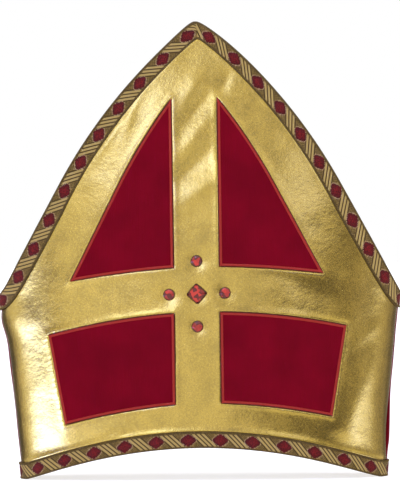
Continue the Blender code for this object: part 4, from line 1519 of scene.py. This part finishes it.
# Parts of the studio that are brighter or darker than its walls, by how much, as the mirror-like foil sees
# them: degrees round from the front, to the right, and above level, with half sizes.
LOBES = (
    Lobe(azimuth=-65, elevation=-15.5, reach_across=29, reach_up=8.5, level=5.2),
    Lobe(azimuth=-60, elevation=2, reach_across=26, reach_up=9, level=0.36),
    Lobe(azimuth=-112, elevation=-12, reach_across=20, reach_up=16, level=0.5),
    Lobe(azimuth=-138, elevation=-5, reach_across=30, reach_up=30, level=0.15),
    Lobe(azimuth=-32, elevation=-16, reach_across=18, reach_up=7, level=1.5),
    Lobe(azimuth=-16, elevation=12, reach_across=13, reach_up=9, level=2.8),
    Lobe(azimuth=21, elevation=5, reach_across=10, reach_up=4.5, level=2.3),
    Lobe(azimuth=11, elevation=8, reach_across=11, reach_up=7, level=0.52),
    Lobe(azimuth=28, elevation=2, reach_across=7, reach_up=4, level=1.4),
    Lobe(azimuth=41, elevation=-6, reach_across=35, reach_up=14, level=0.30),
    Lobe(azimuth=24, elevation=-13, reach_across=21, reach_up=9, level=0.38),
    Lobe(azimuth=54, elevation=-4, reach_across=11, reach_up=5, level=2.2),
    Lobe(azimuth=82, elevation=-6, reach_across=34, reach_up=21, level=0.56),
    Lobe(azimuth=69, elevation=-15, reach_across=25, reach_up=9, level=3.2),
    Lobe(azimuth=112, elevation=-10, reach_across=18, reach_up=16, level=0.5),
    Lobe(azimuth=140, elevation=-5, reach_across=30, reach_up=30, level=0.2),
    Lobe(azimuth=0, elevation=90, reach_across=900, reach_up=60, level=1.25),
    Lobe(azimuth=-30, elevation=58, reach_across=9, reach_up=8, level=12.0),
)
LOBE_SOFTNESS = 0.55
PATCHES = 0.10  # how uneven the studio's walls are
PATCH_SCALE = 9.0
STUDIO_LEVEL = 1.0
# The studio's light is warmer where it is dim, and bluer where it is bright.
DIM_LEVEL, PLAIN_LEVEL, BRIGHT_LEVEL = 0.3, 1.1, 3.5
WHITE = (1.0, 1.0, 1.0)
WARM_LIGHT = (1.0, 0.90, 0.85)
COOL_LIGHT = (1.0, 1.30, 3.4)
FLOOR_SIDE = 80.0
FLOOR_GLOW = 0.58
FLOOR_SHADE = 0.60
CAMERA_HEIGHT = 0.17085
CAMERA_SIDE = -0.00044
CAMERA_DISTANCE = 2.8
CAMERA_AZIMUTH = math.radians(0.41)
CAMERA_ROLL = math.radians(-0.46)
CAMERA_LENS = 267.4
SENSOR_LONG_SIDE = 36.0


def make_camera():
    data = bpy.data.cameras.new("camera")
    data.sensor_width = SENSOR_LONG_SIDE
    data.lens = CAMERA_LENS
    camera = bpy.data.objects.new("camera", data)
    bpy.context.scene.collection.objects.link(camera)
    back = Vector((math.sin(CAMERA_AZIMUTH), -math.cos(CAMERA_AZIMUTH), 0))
    camera.location = back * CAMERA_DISTANCE + Vector((CAMERA_SIDE, 0, CAMERA_HEIGHT))
    camera.rotation_mode = "QUATERNION"
    aim = (-back).to_track_quat("-Z", "Y")
    camera.rotation_quaternion = aim @ Quaternion((0, 0, 1), CAMERA_ROLL)
    bpy.context.scene.camera = camera


def make_light():
    """A wide softbox above the mitre."""
    data = bpy.data.lights.new("softbox", "AREA")
    data.shape = "SQUARE"
    data.size = SOFTBOX_SIDE
    data.energy = SOFTBOX_LEVEL * math.pi * SOFTBOX_SIDE**2
    lamp = bpy.data.objects.new("softbox", data)
    bpy.context.scene.collection.objects.link(lamp)
    lamp.location = (0, 0, SOFTBOX_HEIGHT)
    lamp.visible_camera = False


def make_world():
    """Pale studio walls all round, with darker and brighter parts. The camera sees them plain white."""
    world = bpy.data.worlds.new("studio")
    bpy.context.scene.world = world
    world.cycles.sampling_method = "NONE"
    studio = Recipe("studio", world=world)
    seen = studio.node("ShaderNodeTexCoord").outputs["Generated"]
    x, y, z = studio.node("ShaderNodeSeparateXYZ", {0: seen}).outputs
    azimuth = studio.math("DEGREES", studio.math("ARCTAN2", x, studio.times(y, -1.0)))
    elevation = studio.math("DEGREES", studio.math("ARCSINE", z))
    uneven = studio.noise(scale=PATCH_SCALE, detail=1, vector=seen)
    level = studio.ramp(uneven, NOISE_LOW, NOISE_HIGH, at_start=1 - PATCHES, at_end=1 + PATCHES)
    for lobe in LOBES:
        across = studio.math("DIVIDE", studio.minus(azimuth, lobe.azimuth), lobe.reach_across)
        up = studio.math("DIVIDE", studio.minus(elevation, lobe.elevation), lobe.reach_up)
        squares = studio.plus(studio.math("POWER", across, 2.0), studio.math("POWER", up, 2.0))
        away = studio.math("POWER", squares, 0.5)
        share = studio.ramp(away, 1 - LOBE_SOFTNESS, 1, at_start=1, at_end=0, smooth=True)
        level = studio.times(level, studio.math("POWER", lobe.level, share))
    is_camera = studio.node("ShaderNodeLightPath").outputs["Is Camera Ray"]
    levels = {0: is_camera, 2: level, 3: STUDIO_LEVEL}
    shown = studio.node("ShaderNodeMix", levels, data_type="FLOAT").outputs[0]
    light = studio.mix(studio.ramp(level, DIM_LEVEL, PLAIN_LEVEL), WARM_LIGHT, WHITE)
    light = studio.mix(studio.ramp(level, PLAIN_LEVEL, BRIGHT_LEVEL), light, COOL_LIGHT)
    studio.finish(Strength=shown, Color=studio.mix(is_camera, light, WHITE))


def make_floor():
    """A pale floor. Foil sees the studio's lower half in its place."""
    mesh = bpy.data.meshes.new("floor")
    far = FLOOR_SIDE / 2
    mesh.from_pydata([(-far, -far, 0), (far, -far, 0), (far, far, 0), (-far, far, 0)], [], [(0, 1, 2, 3)])
    floor = bpy.data.objects.new("floor", mesh)
    bpy.context.scene.collection.objects.link(floor)
    paper = Recipe("pale floor", {"Roughness": 0.9, "Specular IOR Level": 0.0})
    paper.finish(Base_Color=shade(WHITE, FLOOR_SHADE), Emission_Color=WHITE, Emission_Strength=FLOOR_GLOW)
    mesh.materials.append(paper.material)
    floor.visible_glossy = False


# ---- what a user can change --------------------------------------------------------------------------------


def colour(name, description, default):
    return FloatVectorProperty(
        name=name, description=description, subtype="COLOR", size=3, min=0, max=1, default=default
    )


def measure(name, description, default, least):
    return FloatProperty(name=name, description=description, default=default, min=least, unit="LENGTH")


class MitreColours(bpy.types.PropertyGroup):
    """Colours of the mitre's cloths and stones."""

    lame: colour("Lamé", "Foil of the gold front", (0.59, 0.41, 0.07))
    velvet: colour("Velvet", "Pile of the fields and the back", (0.160, 0.0012, 0.009))
    velvet_sheen: colour("Velvet sheen", "Light on the pile where it turns away", (0.60, 0.03, 0.11))
    satin: colour("Satin", "Stitches round the fields", (0.40, 0.030, 0.020))
    # A painted shade: the dark colour painted on the outer side of the border stitches.
    satin_painted_shade: colour("Satin painted shade", "Outer side of the stitches", (0.13, 0.012, 0.006))
    galloon: colour("Galloon gold", "Gold threads of the ribbon", (0.33, 0.210, 0.052))
    galloon_dark: colour("Galloon dark", "Dark threads of the ribbon", (0.090, 0.050, 0.012))
    galloon_pale: colour("Galloon pale", "Bright bars of the ribbon", (0.68, 0.48, 0.16))
    selvedge: colour("Selvedge", "Edges of the ribbon", (0.11, 0.066, 0.014))
    diamond_outline: colour("Diamond outline", "Pale threads round the diamonds", (0.60, 0.38, 0.20))
    diamond_edge: colour("Diamond", "Red silk of the diamonds", (0.085, 0.004, 0.004))
    diamond_heart: colour("Diamond heart", "Brighter red silk inside the diamonds", (0.30, 0.008, 0.011))
    backing: colour("Backing", "Inside of the walls", (0.55, 0.46, 0.33))
    stone: colour("Stone", "Cut stones", (0.42, 0.018, 0.008))


class MitreSizes(bpy.types.PropertyGroup):
    """Sizes of the mitre's stitches."""

    satin_spacing: measure("Satin spacing", "From one stitch of a border to the next", 0.00042, 0.0002)
    satin_thread: measure("Satin thread", "Thickness of the border's thread", 0.00046, 0.0001)
    satin_height: measure("Satin height", "How far a border stands up", 0.0009, 0.0)
    selvedge_spacing: measure("Selvedge spacing", "From one edge thread to the next", 0.0010, 0.0005)
    selvedge_thread: measure("Selvedge thread", "Thickness of a ribbon's edge thread", 0.0006, 0.0001)
    seed: IntProperty(name="Seed", description="Order of the stitches' small differences", default=4, min=0)


# ---- operators ---------------------------------------------------------------------------------------------


class MITRE_OT_front(bpy.types.Operator):
    """Make the padded gold front wall"""

    bl_idname = "mitre.front"
    bl_label = "Gold front"

    def execute(self, context):
        colours = context.scene.mitre_colours
        outside, inside = lame_material(colours), backing_material(colours)
        size = WALL_COLUMNS, WALL_ROWS, WALL_CLOSE_ROWS
        piece = wall_piece("gold_front", FRONT, *size, lame_form, outside, inside)
        settle(piece, "front_panel", slot="gold_lame")
        return {"FINISHED"}


class MITRE_OT_back(bpy.types.Operator):
    """Make the padded velvet back wall"""

    bl_idname = "mitre.back"
    bl_label = "Velvet back"

    def execute(self, context):
        colours = context.scene.mitre_colours
        outside = velvet_material(colours, "back velvet", 0.85)
        inside = bpy.data.materials.get("backing cloth") or backing_material(colours)
        size = BACK_COLUMNS, BACK_ROWS, BACK_CLOSE_ROWS
        piece = wall_piece("velvet_back", BACK, *size, back_form, outside, inside)
        settle(piece, "back_panel", slot="velvet")
        return {"FINISHED"}


class MITRE_OT_fields(bpy.types.Operator):
    """Make the four velvet fields"""

    bl_idname = "mitre.fields"
    bl_label = "Velvet fields"

    def execute(self, context):
        material = velvet_material(context.scene.mitre_colours, "field velvet")
        for name, edges in FIELDS.items():
            width, height, area = flat_size(edges)
            piece = velvet_piece("field_" + name, edges, material)
            settle(piece, "velvet_" + name, slot="velvet")
        return {"FINISHED"}


class MITRE_OT_borders(bpy.types.Operator):
    """Stitch the satin borders round the velvet fields"""

    bl_idname = "mitre.borders"
    bl_label = "Satin borders"

    def execute(self, context):
        sizes = context.scene.mitre_sizes
        material = satin_material(context.scene.mitre_colours)
        values = {
            "Spacing": sizes.satin_spacing,
            "Stitch length": BORDER_WIDTH,
            "Thread width": sizes.satin_thread,
            "Stitch height": sizes.satin_height,
            "Slant": 0.0,
            "Unevenness": BORDER_UNEVENNESS,
            "Sides": BORDER_SIDES,
            "Seed": sizes.seed,
        }
        for name, edges in FIELDS.items():
            outline = outline_of(edges)
            middle = shrunk(outline, BORDER_WIDTH / 2)
            round_it = spaced(middle, BORDER_PATH_STEP)
            paths = [border_path(round_it, np.ones(len(round_it)), True)]
            paths += [tip_path(middle[i], outline[i]) for i in corners_of(outline)]
            piece = stitched("border_stitches_" + name, paths, values, material)
            settle(piece, "border_" + name, slot="satin")
        return {"FINISHED"}


class MITRE_OT_arch_ribbons(bpy.types.Operator):
    """Make the woven ribbon of each arch, with its diamonds and edge threads"""

    bl_idname = "mitre.arch_ribbons"
    bl_label = "Arch ribbons"

    def execute(self, context):
        weave, silk, cord = ribbon_materials(context.scene.mitre_colours)
        for word, side, wall in (("front", FRONT, "gold_front"), ("back", BACK, "velvet_back")):
            piece = arch_ribbon(f"ribbon_{word}", side, weave)
            settle(piece, f"galloon_{word}", slot="galloon")
            halves = {half: ArchRibbon(side, half) for half in (-1, 1)}
            reach = halves[1].gone[-1] + LAST_DIAMOND_REACH

            def to_wall(centre, threads):
                half = 1 if centre >= 0 else -1
                repeat, shear = PATTERNS[half].repeat, PATTERNS[half].shear
                along = centre + (threads[:, 0] + shear * threads[:, 1]) * repeat / REPEAT_THREADS
                pitch = (ARCH_RIBBON_WIDTH + RIBBON_TURN_OVER) / RIBBON_THREADS
                down = threads[:, 1] * pitch + (ARCH_RIBBON_WIDTH - RIBBON_TURN_OVER) / 2
                lift = RIBBON_GAP + RIBBON_THICKNESS + threads[:, 2]
                return halves[half].point(along, down, lift)

            centres = [half * np.arange(p.first, reach, p.repeat) for half, p in PATTERNS.items()]
            pieces = [diamonds_piece(f"diamonds_{word}", np.concatenate(centres), to_wall, silk)]
            for place, down in (("inner", ARCH_RIBBON_WIDTH - SELVEDGE_INSET), ("outer", SELVEDGE_INSET)):
                path = arch_edge_path(side, halves, down)
                name = f"selvedge_{word}_{place}"
                pieces.append(selvedge_piece(name, path, SELVEDGE_SLANT, context.scene.mitre_sizes, cord))
        return {"FINISHED"}


class MITRE_OT_rim_ribbon(bpy.types.Operator):
    """Make the woven ribbon round the rim, with its diamonds and edge threads"""

    bl_idname = "mitre.rim_ribbon"
    bl_label = "Rim ribbon"

    def execute(self, context):
        weave, silk, cord = ribbon_materials(context.scene.mitre_colours)
        piece = rim_ribbon("ribbon_rim", weave)
        settle(piece, "galloon_rim", slot="galloon")
        ribbon = RimRibbon()

        def to_wall(centre, threads):
            along = centre + threads[:, 0] * ribbon.repeat / REPEAT_THREADS
            up = RIM_RIBBON_WIDTH / 2 - threads[:, 1] * RIM_RIBBON_WIDTH / RIBBON_THREADS
            return ribbon.point(along, up, RIBBON_GAP + RIBBON_THICKNESS + threads[:, 2])

        centres = RIM_FIRST_DIAMOND + np.arange(RIM_REPEATS) * ribbon.repeat
        pieces = [diamonds_piece("diamonds_rim", centres, to_wall, silk)]
        along = np.linspace(0, ribbon.length, RIM_TABLE, endpoint=False) + ribbon.gone[0]
        turns = np.interp(along, ribbon.gone, ribbon.turns)
        for place, up in (("inner", RIM_RIBBON_WIDTH - SELVEDGE_INSET), ("outer", RIM_SELVEDGE_INSET)):
            points = ribbon.point(along, np.full(along.shape, up), RIBBON_GAP + RIBBON_THICKNESS)
            path = even_path(points, outward(turns, rim_height(turns) + up), closed=True)
            name = f"selvedge_rim_{place}"
            pieces.append(selvedge_piece(name, path, -SELVEDGE_SLANT, context.scene.mitre_sizes, cord))
        return {"FINISHED"}


class MITRE_OT_stones(bpy.types.Operator):
    """Set the five cut stones on the cross"""

    bl_idname = "mitre.stones"
    bl_label = "Stones"

    def execute(self, context):
        material = stone_material(context.scene.mitre_colours)
        for word, (x, z) in STONES.items():
            points = square_stone_points() if word == "centre" else round_stone_points()
            piece = cut_stone(f"cut_stone_{word}", points, float(x), float(z), material)
            settle(piece, f"stone_{word}", slot="stone")
        return {"FINISHED"}


class MITRE_OT_studio(bpy.types.Operator):
    """Make the pale floor, the soft lights and the camera"""

    bl_idname = "mitre.studio"
    bl_label = "Studio"

    def execute(self, context):
        context.scene.view_settings.view_transform = "Standard"
        make_floor()
        make_world()
        make_light()
        make_camera()
        return {"FINISHED"}


class MITRE_PT_panel(bpy.types.Panel):
    """Lists the mitre's pieces, sizes and colours"""

    bl_idname = "MITRE_PT_panel"
    bl_label = "Mitre"
    bl_space_type = "VIEW_3D"
    bl_region_type = "UI"
    bl_category = "Mitre"

    def draw(self, context):
        for settings in (context.scene.mitre_sizes, context.scene.mitre_colours):
            box = self.layout.box()
            for name in settings.bl_rna.properties.keys():
                if name not in ("rna_type", "name"):
                    box.prop(settings, name)
        for operator in OPERATORS:
            self.layout.operator(operator.bl_idname)


OPERATORS = (
    MITRE_OT_front,
    MITRE_OT_back,
    MITRE_OT_fields,
    MITRE_OT_borders,
    MITRE_OT_arch_ribbons,
    MITRE_OT_rim_ribbon,
    MITRE_OT_stones,
    MITRE_OT_studio,
)
CLASSES = (MitreColours, MitreSizes, *OPERATORS, MITRE_PT_panel)


def register():
    for cls in CLASSES:
        bpy.utils.register_class(cls)
    bpy.types.Scene.mitre_colours = PointerProperty(type=MitreColours)
    bpy.types.Scene.mitre_sizes = PointerProperty(type=MitreSizes)


def unregister():
    del bpy.types.Scene.mitre_sizes
    del bpy.types.Scene.mitre_colours
    for cls in reversed(CLASSES):
        bpy.utils.unregister_class(cls)


def main():
    register()
    bpy.ops.mitre.front()
    bpy.ops.mitre.back()
    bpy.ops.mitre.fields()
    bpy.ops.mitre.borders()
    bpy.ops.mitre.arch_ribbons()
    bpy.ops.mitre.rim_ribbon()
    bpy.ops.mitre.stones()
    bpy.ops.mitre.studio()


if __name__ == "__main__":
    main()
